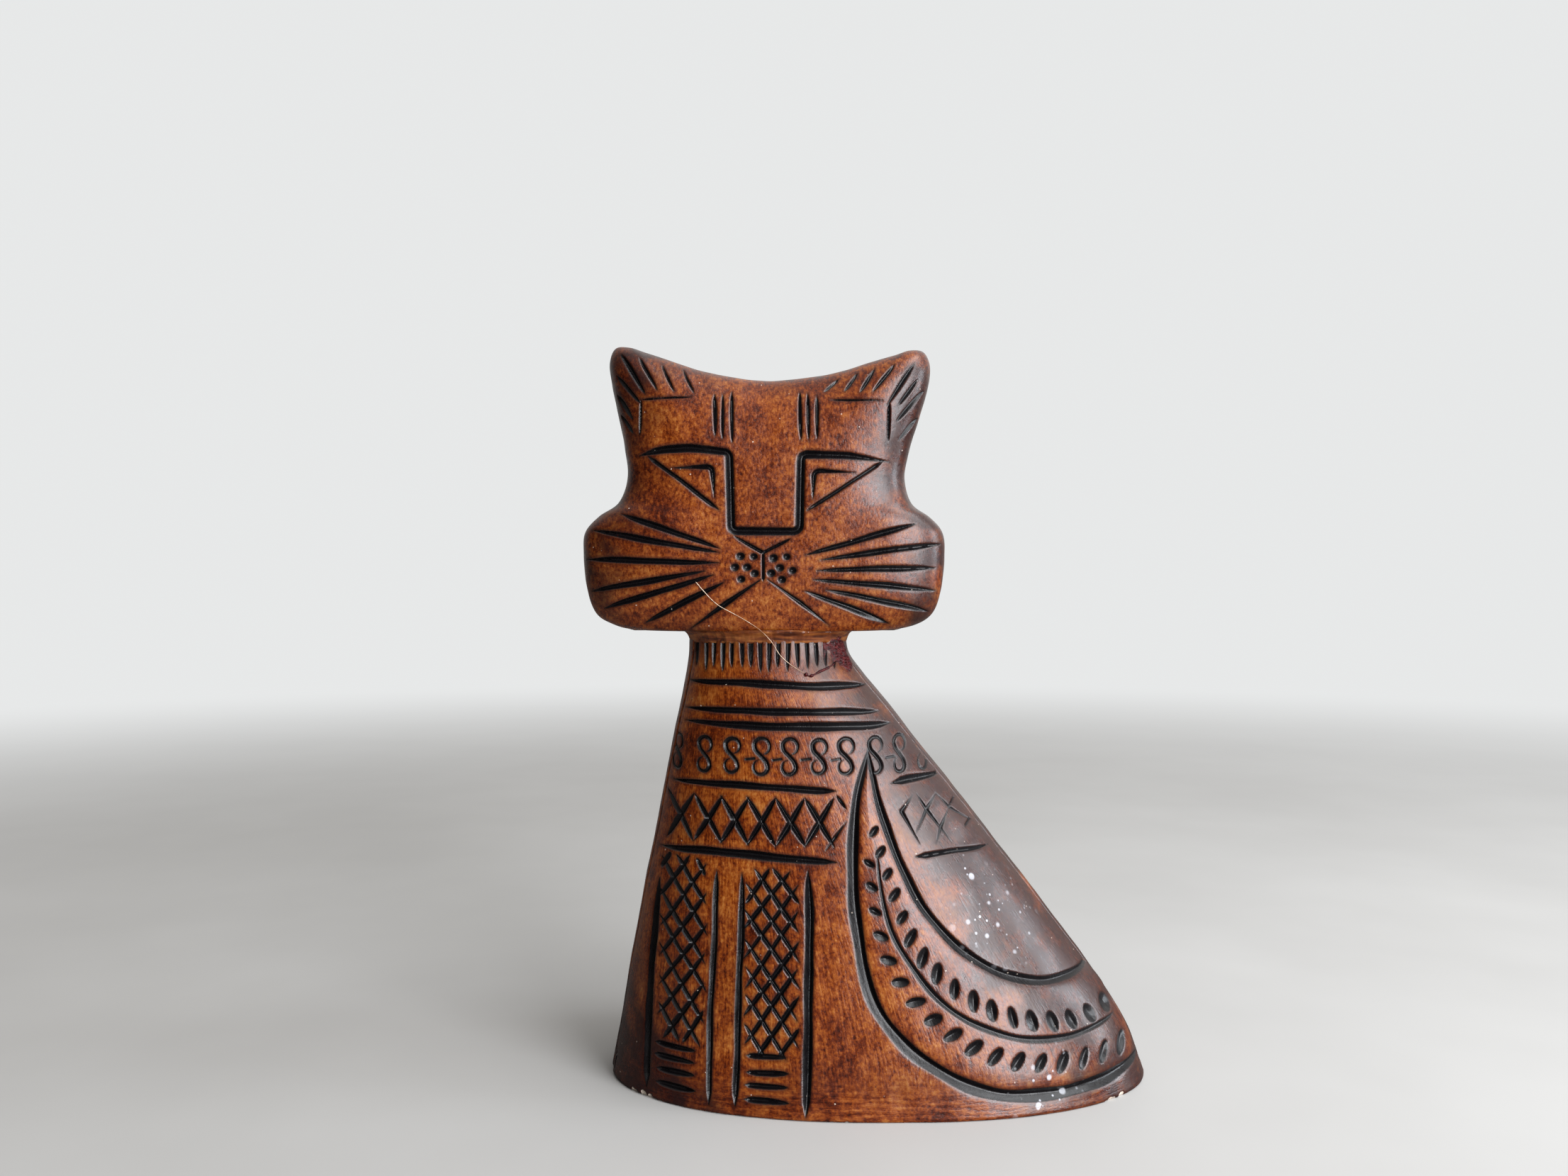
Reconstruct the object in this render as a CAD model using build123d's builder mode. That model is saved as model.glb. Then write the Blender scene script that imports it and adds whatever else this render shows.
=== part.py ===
"""Seated cat figure: a hollow ceramic body and head, each joined from a front and a rear half.

Frame: +X to the figure's own left, -Y towards the viewer of its face, +Z up.
The origin lies on the ground, under the centre of the figure's overall box.
All lengths are millimetres.
"""

import os
from math import copysign, cos, pi, radians, sin

from build123d import *

os.makedirs("parts", exist_ok=True)

# Clay walls and the joints between the pieces
WALL = 5.0
SEAM_WIDTH = 0.8
BODY_SEAM_FORWARD = 8.0
HEAD_SEAM_FORWARD = 4.0

# Body: height, left edge, right edge and half depth of each section, from foot to neck
FOOT_LEFT = -98.5
FOOT_RIGHT = 108.8
FOOT_HALF_DEPTH = 54.7
NECK_LEFT = -68.2
NECK_RIGHT = -6.7
NECK_HALF_DEPTH = 20.9
NECK_TOP = 169.2
BODY_SECTIONS = [
    (0.0, FOOT_LEFT, FOOT_RIGHT, FOOT_HALF_DEPTH),
    (17.0, -95.4, 102.7, 51.0),
    (39.0, -91.8, 88.9, 46.7),
    (63.0, -87.4, 71.0, 41.8),
    (95.0, -81.3, 46.4, 35.2),
    (122.0, -76.0, 25.0, 29.7),
    (142.0, -72.0, 9.3, 25.6),
    (153.0, -69.9, 0.4, 23.4),
    (162.0, -68.5, -5.6, 21.5),
    (NECK_TOP, NECK_LEFT, NECK_RIGHT, NECK_HALF_DEPTH),
]
FOOT_SQUARENESS = 2.24
NECK_SQUARENESS = 2.0
SECTION_POINTS = 24
CAVITY_OVERRUN = 1.0

# Head: one outline, scaled about its centre and set back towards the rim, and its slight lean
HEAD_X = -38.95
HEAD_Z = 216.0
HEAD_HALF_DEPTH = 27.0
HEAD_ROUNDNESS = 4.0
HEAD_UNDERSIDE = 170.0
HEAD_RING_ANGLES = [72, 64, 55, 46, 37, 28, 19, 10]
CROWN_Z = 266.8
CROWN = [(14.7, 268.3), (26.8, 270.7), (38.5, 274.2), (48.5, 277.2)]
EAR_TIP = [(54.6, 279.2), (59.6, 278.7), (62.0, 273.6)]
CHEEK = [(61.2, 264.6), (58.0, 251.4), (55.3, 240.5), (53.9, 229.5), (57.0, 219.4), (64.2, 214.0)]
JOWL = [(69.2, 207.9), (69.8, 199.3), (68.6, 186.2), (64.9, 176.4), (58.2, 172.2), (45.0, 168.6)]
CHIN_Z = 162.0
LEAN_START_Z = 205.0
LEAN_END_Z = 265.0
LEAN = 2.3
TILT = 0.01
HEAD_VENT_HALF_WIDTH = 21.5
HEAD_VENT_HALF_DEPTH = 12.0

# Glue between neck and head
GLUE_SQUEEZE = 1.6
GLUE_BEAD_HEIGHT = 2.0
GLUE_BEAD_TOE = 0.4
GLUE_CLEARANCE = 0.15

# Base plate, its slip bead and its stopper
PLATE_UNDERSIDE = 3.0
PLATE_THICKNESS = 5.0
PLATE_CLEARANCE = 0.3
PLATE_X = 5.2
BEAD_BOTTOM = 1.2
BEAD_WIDTH = 4.0
HOLE_RADIUS = 14.0
PLUG_CLEARANCE = 0.05
PLUG_HEIGHT = 6.5
PLUG_CHAMFER = 1.2
FLANGE_RADIUS = 18.0
FLANGE_THICKNESS = 2.0
FLANGE_FILLET = 0.6
RECESS_RADIUS = 10.0
RECESS_DEPTH = 5.5
GRIP_WIDTH = 4.0


def signed_power(value, exponent):
    """Raise the size of a value to an exponent and keep its sign."""
    return copysign(abs(value) ** exponent, value)


def oval_points(half_width, half_depth, squareness):
    """Points round an oval that is a little squarer than an ellipse."""
    angles = [2 * pi * step / SECTION_POINTS for step in range(SECTION_POINTS)]
    power = 2 / squareness
    return [
        (half_width * signed_power(cos(a), power), half_depth * signed_power(sin(a), power))
        for a in angles
    ]


def section_squareness(height):
    """The foot is squarest, and the neck is a plain ellipse."""
    return FOOT_SQUARENESS + (NECK_SQUARENESS - FOOT_SQUARENESS) * height / NECK_TOP


def body_section(height, left, right, half_depth, inset, plane_height):
    """Sketch one level section of the body, drawn in by an inset."""
    centre = (left + right) / 2
    half_width = (right - left) / 2 - inset
    outline = oval_points(half_width, half_depth - inset, section_squareness(height))
    with BuildSketch(Plane.XY.offset(plane_height)) as section:
        with BuildLine():
            Spline(*[(centre + x, y) for x, y in outline], periodic=True)
        make_face()
    return section.sketch


def body_form(inset, overrun):
    """Solid body from foot to neck, drawn in by an inset and run past both ends."""
    last = len(BODY_SECTIONS) - 1
    with BuildPart() as form:
        sections = []
        for index, (height, left, right, half_depth) in enumerate(BODY_SECTIONS):
            past_end = overrun * ((index == last) - (index == 0))
            sections.append(body_section(height, left, right, half_depth, inset, height + past_end))
        loft(sections=sections)
    return form.part


def body_outline_at(height, inset):
    """Centre, half width and half depth of the body just above the foot."""
    low, high = BODY_SECTIONS[0], BODY_SECTIONS[1]
    share = height / high[0]
    left, right, half_depth = (a + (b - a) * share for a, b in zip(low[1:], high[1:]))
    return (left + right) / 2, (right - left) / 2 - inset, half_depth - inset


def foot_slab(bottom, top, fit_height, inset):
    """Slab inside the foot, with the cavity's outline at one height."""
    centre, half_width, half_depth = body_outline_at(fit_height, inset)
    outline = oval_points(half_width, half_depth, section_squareness(fit_height))
    with BuildPart() as slab:
        with BuildSketch(Plane.XY.offset(bottom)):
            with BuildLine():
                Spline(*[(centre + x, y) for x, y in outline], periodic=True)
            make_face()
        extrude(amount=top - bottom)
    return slab.part


def leaned(x, z):
    """The upper head leans and tips a little to the figure's own left."""
    share = min(max((z - LEAN_START_Z) / (LEAN_END_Z - LEAN_START_Z), 0), 1)
    return x + LEAN * share, z - TILT * x * share


def head_section(scale, forward):
    """Sketch the head's outline at one scale, on an upright plane ahead of the middle."""

    def placed(points, side=1):
        outline = [leaned(side * x, z) for x, z in points]
        return [(HEAD_X + scale * x, HEAD_Z + scale * (z - HEAD_Z)) for x, z in outline]

    crown = CROWN + EAR_TIP[:1]
    side = EAR_TIP[-1:] + CHEEK + JOWL
    crown_line = placed([(-x, z) for x, z in reversed(crown)]) + placed([(0, CROWN_Z)] + crown)
    under_line = placed(side) + placed([(0, CHIN_Z)]) + placed(list(reversed(side)), side=-1)
    with BuildSketch(Plane.XZ.offset(forward)) as section:
        with BuildLine():
            Spline(*crown_line)
            ThreePointArc(*placed(EAR_TIP))
            Spline(*under_line)
            ThreePointArc(*placed(list(reversed(EAR_TIP)), side=-1))
        make_face()
    return section.sketch


def head_form(scale, half_depth):
    """Solid pillow with the head's outline, rounded over towards its rim."""
    power = 2 / HEAD_ROUNDNESS
    angles = HEAD_RING_ANGLES + [0] + [-angle for angle in reversed(HEAD_RING_ANGLES)]
    with BuildPart() as form:
        sections = []
        for angle in angles:
            ring = cos(radians(angle)) ** power
            rise = half_depth * signed_power(sin(radians(angle)), power)
            sections.append(head_section(scale * ring, rise))
        loft(sections=sections)
    return form.part


def front_half(shell, seam_forward):
    """The part of a shell ahead of its seam."""
    with BuildPart() as half:
        add(shell)
        split(bisect_by=Plane.XZ.offset(seam_forward + SEAM_WIDTH / 2), keep=Keep.TOP)
    return half


def rear_half(shell, seam_forward):
    """The part of a shell behind its seam."""
    with BuildPart() as half:
        add(shell)
        split(bisect_by=Plane.XZ.offset(seam_forward - SEAM_WIDTH / 2), keep=Keep.BOTTOM)
    return half


def seam_layer(shell, seam_forward):
    """The band of slip that joins a front half to a rear half."""
    with BuildPart() as layer:
        add(shell)
        split(bisect_by=Plane.XZ.offset(seam_forward + SEAM_WIDTH / 2), keep=Keep.BOTTOM)
        split(bisect_by=Plane.XZ.offset(seam_forward - SEAM_WIDTH / 2), keep=Keep.TOP)
    return layer


# Body: one hollow form, open at the foot and at the neck
with BuildPart() as body_shell:
    add(body_form(0, 0))
    add(body_form(WALL, CAVITY_OVERRUN), mode=Mode.SUBTRACT)

body_front_shell = front_half(body_shell.part, BODY_SEAM_FORWARD)
body_rear_shell = rear_half(body_shell.part, BODY_SEAM_FORWARD)
body_seam = seam_layer(body_shell.part, BODY_SEAM_FORWARD)

# Head cavity: a smaller pillow that stops above the flat underside
cavity_scale = 1 - WALL / (HEAD_Z - HEAD_UNDERSIDE)
with BuildPart() as head_cavity:
    add(head_form(cavity_scale, HEAD_HALF_DEPTH - WALL))
    split(bisect_by=Plane.XY.offset(HEAD_UNDERSIDE + WALL), keep=Keep.TOP)

# Head: the pillow cut flat below, hollow, with an oval vent over the neck
neck_x = (NECK_LEFT + NECK_RIGHT) / 2
with BuildPart() as head_shell:
    add(head_form(1, HEAD_HALF_DEPTH))
    split(bisect_by=Plane.XY.offset(HEAD_UNDERSIDE), keep=Keep.TOP)
    add(head_cavity.part, mode=Mode.SUBTRACT)
    with BuildSketch(Plane.XY.offset(HEAD_UNDERSIDE)):
        with Locations((neck_x, 0)):
            Ellipse(HEAD_VENT_HALF_WIDTH, HEAD_VENT_HALF_DEPTH)
    extrude(amount=2 * WALL, mode=Mode.SUBTRACT)

head_front_shell = front_half(head_shell.part, HEAD_SEAM_FORWARD)
head_rear_shell = rear_half(head_shell.part, HEAD_SEAM_FORWARD)
head_seam = seam_layer(head_shell.part, HEAD_SEAM_FORWARD)

# Glue: a layer on the neck's rim with a bead squeezed out below it
neck_half_width = (NECK_RIGHT - NECK_LEFT) / 2
bead_foot = NECK_TOP - GLUE_BEAD_HEIGHT
with BuildPart() as neck_glue:
    with BuildSketch(Plane.XY.offset(bead_foot)):
        with Locations((neck_x, 0)):
            Ellipse(neck_half_width + GLUE_BEAD_TOE, NECK_HALF_DEPTH + GLUE_BEAD_TOE)
    with BuildSketch(Plane.XY.offset(NECK_TOP)):
        with Locations((neck_x, 0)):
            Ellipse(neck_half_width + GLUE_SQUEEZE, NECK_HALF_DEPTH + GLUE_SQUEEZE)
    loft()
    with BuildSketch(Plane.XY.offset(bead_foot)):
        with Locations((neck_x, 0)):
            Ellipse(neck_half_width + GLUE_CLEARANCE, NECK_HALF_DEPTH + GLUE_CLEARANCE)
    extrude(amount=GLUE_BEAD_HEIGHT, mode=Mode.SUBTRACT)
    with BuildSketch(Plane.XY.offset(NECK_TOP)):
        with Locations((neck_x, 0)):
            Ellipse(neck_half_width + GLUE_SQUEEZE, NECK_HALF_DEPTH + GLUE_SQUEEZE)
            Ellipse(neck_half_width - WALL, NECK_HALF_DEPTH - WALL, mode=Mode.SUBTRACT)
    extrude(amount=HEAD_UNDERSIDE - NECK_TOP)

# Base plate: a slab set up inside the foot, with a round hole
plate_top = PLATE_UNDERSIDE + PLATE_THICKNESS
with BuildPart() as base_plate:
    add(foot_slab(PLATE_UNDERSIDE, plate_top, plate_top, WALL + PLATE_CLEARANCE))
    with Locations((PLATE_X, 0, plate_top)):
        Hole(HOLE_RADIUS)

# Slip bead: a ring of slip under the plate's edge, against the foot's inner wall
with BuildPart() as base_slip_bead:
    add(foot_slab(BEAD_BOTTOM, PLATE_UNDERSIDE, PLATE_UNDERSIDE, WALL + PLATE_CLEARANCE))
    bead_core = foot_slab(BEAD_BOTTOM, PLATE_UNDERSIDE, PLATE_UNDERSIDE, WALL + BEAD_WIDTH)
    add(bead_core, mode=Mode.SUBTRACT)

# Stopper: a flange below the plate, a plug up through the hole and a bar to pull it by
flange_bottom = PLATE_UNDERSIDE - FLANGE_THICKNESS
plug_length = FLANGE_THICKNESS + PLUG_HEIGHT
with BuildPart() as base_stopper:
    with BuildSketch(Plane.XY.offset(flange_bottom)):
        with Locations((PLATE_X, 0)):
            Circle(FLANGE_RADIUS)
    extrude(amount=FLANGE_THICKNESS)
    fillet(base_stopper.edges().group_by(Axis.Z)[0], FLANGE_FILLET)
    with BuildSketch(Plane.XY.offset(PLATE_UNDERSIDE)):
        with Locations((PLATE_X, 0)):
            Circle(HOLE_RADIUS - PLUG_CLEARANCE)
    extrude(amount=PLUG_HEIGHT)
    chamfer(base_stopper.edges().group_by(Axis.Z)[-1], PLUG_CHAMFER)
    with BuildSketch(Plane.XY.offset(flange_bottom)):
        with Locations((PLATE_X, 0)):
            Circle(RECESS_RADIUS)
            Rectangle(2 * RECESS_RADIUS, GRIP_WIDTH, mode=Mode.SUBTRACT)
    extrude(amount=RECESS_DEPTH, mode=Mode.SUBTRACT)

body_front_shell.part.label = "body_front_shell"
export_step(body_front_shell.part, "parts/body_front_shell.step")

body_rear_shell.part.label = "body_rear_shell"
export_step(body_rear_shell.part, "parts/body_rear_shell.step")

body_seam.part.label = "body_seam"
export_step(body_seam.part, "parts/body_seam.step")

head_front_shell.part.label = "head_front_shell"
export_step(head_front_shell.part, "parts/head_front_shell.step")

head_rear_shell.part.label = "head_rear_shell"
export_step(head_rear_shell.part, "parts/head_rear_shell.step")

head_seam.part.label = "head_seam"
export_step(head_seam.part, "parts/head_seam.step")

neck_glue.part.label = "neck_glue"
export_step(neck_glue.part, "parts/neck_glue.step")

base_plate.part.label = "base_plate"
export_step(base_plate.part, "parts/base_plate.step")

base_slip_bead.part.label = "base_slip_bead"
export_step(base_slip_bead.part, "parts/base_slip_bead.step")

base_stopper.part.label = "base_stopper"
export_step(base_stopper.part, "parts/base_stopper.step")
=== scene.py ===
import math

import bmesh
import bpy
import numpy as np
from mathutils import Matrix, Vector

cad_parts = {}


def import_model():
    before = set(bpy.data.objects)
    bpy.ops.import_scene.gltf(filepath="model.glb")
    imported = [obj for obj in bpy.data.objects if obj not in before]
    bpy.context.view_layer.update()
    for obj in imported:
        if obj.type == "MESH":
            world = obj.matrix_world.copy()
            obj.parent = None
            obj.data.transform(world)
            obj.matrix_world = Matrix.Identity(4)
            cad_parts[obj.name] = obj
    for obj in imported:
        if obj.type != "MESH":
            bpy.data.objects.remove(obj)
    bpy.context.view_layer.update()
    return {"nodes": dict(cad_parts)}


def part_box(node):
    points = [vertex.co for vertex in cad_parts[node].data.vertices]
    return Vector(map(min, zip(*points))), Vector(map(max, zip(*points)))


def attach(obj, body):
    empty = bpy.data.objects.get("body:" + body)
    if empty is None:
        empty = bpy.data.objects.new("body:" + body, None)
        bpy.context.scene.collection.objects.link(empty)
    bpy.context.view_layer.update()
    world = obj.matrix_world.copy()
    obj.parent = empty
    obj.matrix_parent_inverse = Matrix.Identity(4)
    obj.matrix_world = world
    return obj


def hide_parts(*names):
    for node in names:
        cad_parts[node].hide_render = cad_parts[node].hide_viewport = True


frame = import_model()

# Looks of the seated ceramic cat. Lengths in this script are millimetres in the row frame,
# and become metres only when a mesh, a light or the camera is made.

MM = 0.001
SEED = 11
WALL = 5.0
# A shell's inner grid has one step to this many of the outer grid's
INNER_STEP = 4


def box_mm(*nodes):
    """Lowest and highest corners of some CAD nodes together."""
    corners = [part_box(node) for node in nodes]
    low = np.min([list(low) for low, high in corners], axis=0) / MM
    high = np.max([list(high) for low, high in corners], axis=0) / MM
    return low, high


# The CAD boxes that every shape below is worked out from
BODY_LOW, BODY_HIGH = box_mm("body_front_shell", "body_rear_shell")
BODY_SEAM_LOW, BODY_SEAM_HIGH = box_mm("body_seam")
HEAD_LOW, HEAD_HIGH = box_mm("head_front_shell", "head_rear_shell")
HEAD_SEAM_LOW, HEAD_SEAM_HIGH = box_mm("head_seam")
GLUE_LOW, GLUE_HIGH = box_mm("neck_glue")
NECK_TOP = BODY_HIGH[2]

# The drawing on the head is measured from the head's middle, the body's from the neck's middle
HEAD_X = (HEAD_LOW[0] + HEAD_HIGH[0]) / 2
NECK_X = (GLUE_LOW[0] + GLUE_HIGH[0]) / 2

# Body sections: height, then left edge and right edge from the foot's left end, and half depth
BODY_SECTIONS = np.array([
    (0.0, 0.0, 207.3, 54.7),
    (17.0, 3.1, 201.2, 51.0),
    (39.0, 6.7, 187.4, 46.7),
    (63.0, 11.1, 169.5, 41.8),
    (95.0, 17.2, 144.9, 35.2),
    (122.0, 22.5, 123.5, 29.7),
    (142.0, 26.5, 107.8, 25.6),
    (153.0, 28.6, 98.9, 23.4),
    (162.0, 30.0, 92.9, 21.5),
    (169.2, 30.3, 91.8, 20.9),
])
FOOT_SQUARENESS = 2.24
NECK_SQUARENESS = 2.0
# About how many times wider than deep the figure is at its foot and at its neck
FOOT_FLATNESS = 1.9
NECK_FLATNESS = 1.4

# Right half of the head's outline, from its centre line and up from its flat underside
HEAD_OUTLINE = np.array([
    (0.0, 96.8), (14.7, 98.3), (26.8, 100.7), (38.5, 104.2), (48.5, 107.2), (54.6, 109.2),
    (59.6, 108.7), (62.0, 103.6), (61.2, 94.6), (58.0, 81.4), (55.3, 70.5), (53.9, 59.5),
    (57.0, 49.4), (64.2, 44.0), (69.2, 37.9), (69.8, 29.3), (68.6, 16.2), (64.9, 6.4),
    (58.2, 2.2), (45.0, -1.4), (0.0, -8.0),
])
HEAD_HALF_WIDTH = 70.0
HEAD_CENTRE_HEIGHT = 46.0
HEAD_ROUNDNESS = 4.0
HEAD_HALF_DEPTH = 27.0
# The upper head leans and tips a little to the figure's own left, between these heights
LEAN_START, LEAN_END = 35.0, 95.0
LEAN = 2.3
TILT = 0.01


# ---------------------------------------------------------------- curves and noise

def hermite(at, knots, values):
    """Smooth curve through values that are given at rising knots."""
    knots = np.asarray(knots, float)
    values = np.asarray(values, float)
    slopes = np.gradient(values, knots, axis=0)
    first = np.clip(np.searchsorted(knots, at, side="right") - 1, 0, len(knots) - 2)
    span = (knots[first + 1] - knots[first])[..., None]
    t = (np.asarray(at)[..., None] - knots[first][..., None]) / span
    start, end = values[first], values[first + 1]
    return (
        start * (2 * t**3 - 3 * t**2 + 1)
        + slopes[first] * span * (t**3 - 2 * t**2 + t)
        + end * (3 * t**2 - 2 * t**3)
        + slopes[first + 1] * span * (t**3 - t**2)
    )


def through(points, spacing=1.5):
    """Evenly spaced points on a smooth curve through a few points."""
    points = np.asarray(points, float)
    steps = np.hypot(*np.diff(points, axis=0).T)
    knots = np.r_[0, np.cumsum(steps)]
    count = max(3, int(knots[-1] / spacing) + 1)
    return hermite(np.linspace(0, knots[-1], count), knots, points)


def with_round_corners(points, radius):
    """A straight-sided path whose corners are small arcs."""
    points = [np.array(p, float) for p in points]
    path = [points[0]]
    for before, corner, after in zip(points, points[1:], points[2:]):
        start = corner + (before - corner) / np.linalg.norm(before - corner) * radius
        end = corner + (after - corner) / np.linalg.norm(after - corner) * radius
        for t in np.linspace(0, 1, 7):
            path.append((1 - t) ** 2 * start + 2 * t * (1 - t) * corner + t**2 * end)
    path.append(points[-1])
    return np.array(path)


def ripple(points, wavelength, seed, waves=9):
    """Smooth noise from about -1 to 1 in space, the same on every run."""
    draw = np.random.default_rng(seed)
    total = np.zeros(points.shape[:-1])
    for _ in range(waves):
        direction = draw.normal(size=3)
        direction /= np.linalg.norm(direction)
        length = wavelength * draw.uniform(0.7, 1.5)
        phase = draw.uniform(0, 2 * math.pi)
        total += np.sin(points @ direction * (2 * math.pi / length) + phase)
    return total / math.sqrt(waves)


def smoothstep(low, high, value):
    t = np.clip((value - low) / (high - low), 0, 1)
    return t * t * (3 - 2 * t)


# ---------------------------------------------------------------- cut lines

# How far outside a cut its distance is still recorded, for the stain beside it
REACH = 2.5
# A cut's profile, in shares of its half width: rounded bottom, and rounded banks that fade out
BOTTOM_ROUND = 0.16
SHOULDER = 0.22
FADE = 0.012
# The tool leaned, so a wide cut is deepest towards its right or upper bank, a narrow one hardly
TOOL_LEAN = (0.26, 0.20)
NARROW_LEAN = 0.1
NARROW_HALF, WIDE_HALF = 1.2, 1.8
THINNEST_HALF = 0.15
# A cut's depth unless it is given: a start, and a share of its width
DEPTH_START, DEPTH_BY_WIDTH = 0.46, 0.50
wobble_draw = np.random.default_rng(SEED)


def stroke(path, width, taper=(0.12, 0.12), depth=None, wobble=0.10, overrun=0.4):
    """One tool cut: a path across the front, its half widths and its depth."""
    path = np.array(path, float)
    first, last = path[0] - path[1], path[-1] - path[-2]
    path[0] += first / np.hypot(*first) * overrun * width
    path[-1] += last / np.hypot(*last) * overrun * width
    if len(path) == 2:
        path = path[0] + np.linspace(0, 1, 11)[:, None] * (path[1] - path[0])
    steps = np.hypot(*np.diff(path, axis=0).T)
    run = np.r_[0, np.cumsum(steps)]
    share = run / run[-1]
    fade_in = np.clip(share / taper[0], 0, 1)
    fade_out = np.clip((1 - share) / taper[1], 0, 1)
    half = width / 2 * np.sqrt(fade_in * (2 - fade_in) * fade_out * (2 - fade_out))
    half = np.maximum(half, THINNEST_HALF)
    phase = wobble_draw.uniform(0, 2 * math.pi, 4)
    drift = np.sin(run / 7 + phase[0]) + 0.6 * np.sin(run / 3 + phase[1])
    along = np.gradient(path, axis=0)
    along /= np.maximum(np.hypot(*along.T), 1e-6)[:, None]
    path = path + wobble * drift[:, None] * np.c_[-along[:, 1], along[:, 0]]
    half = half * (1 + 0.08 * np.sin(run / 4 + phase[2]))
    return path, half, DEPTH_START + DEPTH_BY_WIDTH * width if depth is None else depth


def carve(x, height, strokes):
    """How deep the V-shaped cuts are, and how far inside a cut's edge each point lies."""
    shape = x.shape
    x, height = x.ravel(), height.ravel()
    depth = np.zeros(x.size)
    inside = np.full(x.size, -REACH)
    for path, half, deep in strokes:
        margin = half.max() + REACH
        low, high = path.min(0) - margin, path.max(0) + margin
        tilt = NARROW_LEAN + (1 - NARROW_LEAN) * smoothstep(NARROW_HALF, WIDE_HALF, half.max())
        near = np.nonzero((x > low[0]) & (x < high[0]) & (height > low[1]) & (height < high[1]))[0]
        for a, b, wa, wb in zip(path, path[1:], half, half[1:]):
            d = b - a
            mid = (a + b) / 2
            reach = np.hypot(*d) / 2 + margin
            close = near[(np.abs(x[near] - mid[0]) < reach) & (np.abs(height[near] - mid[1]) < reach)]
            px, ph = x[close], height[close]
            t = np.clip(((px - a[0]) * d[0] + (ph - a[1]) * d[1]) / (d @ d + 1e-9), 0, 1)
            away = np.hypot(px - a[0] - t * d[0], ph - a[1] - t * d[1])
            width = wa + (wb - wa) * t
            inside[close] = np.maximum(inside[close], width - away)
            length = np.hypot(*d) + 1e-9
            leftward = ((px - a[0]) * -d[1] + (ph - a[1]) * d[0]) / length
            past_end = np.sqrt(np.maximum(away**2 - leftward**2, 0)) / width
            deepest = tilt * (TOOL_LEAN[0] * -d[1] + TOOL_LEAN[1] * d[0]) / length
            from_deepest = leftward / width - deepest
            across = np.abs(from_deepest) / (1 - np.sign(from_deepest) * deepest)
            share = np.hypot(np.hypot(across, past_end), BOTTOM_ROUND) - BOTTOM_ROUND
            share /= 1 - 0.8 * BOTTOM_ROUND
            floor = deep * width / half.max()
            wall = (1 - share + np.hypot(1 - share, SHOULDER)) / 2 - FADE
            depth[close] = np.maximum(depth[close], floor * wall)
    return depth.reshape(shape), inside.reshape(shape)


def crossed(centre, half_width, half_height, width):
    """Two cuts crossed in an X."""
    cx, ch = centre
    arms = []
    for side in (-1, 1):
        ends = [(cx - side * half_width, ch + half_height), (cx + side * half_width, ch - half_height)]
        arms.append(stroke(ends, width, taper=(0.5, 0.5)))
    return arms


def lattice(left, right, bottom, top, pitch, lean, width, draw):
    """Slanting cuts both ways across a tall panel, clipped to its foot and its top."""
    cuts = []
    span = right - left
    for way in (-1, 1):
        start = bottom - span * lean
        while start < top - pitch * 0.3:
            a = np.array([left if way > 0 else right, start])
            b = np.array([right if way > 0 else left, start + span * lean])
            slope = (b - a) / (b[1] - a[1])
            a = a + slope * max(0, bottom - a[1])
            b = b - slope * max(0, b[1] - top)
            a = a + draw.uniform(-0.5, 0.5, 2)
            b = b + draw.uniform(-0.5, 0.5, 2)
            if b[1] - a[1] > pitch * 0.3:
                cuts.append(stroke([a, b], width * draw.uniform(0.85, 1.15), taper=(0.3, 0.3)))
            start += pitch
    return cuts


def straight_cuts(rows, taper=(0.12, 0.12)):
    """Straight cuts, each from a row of its two ends and its width."""
    return [stroke([(x0, h0), (x1, h1)], width, taper=taper) for x0, h0, x1, h1, width in rows]


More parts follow.
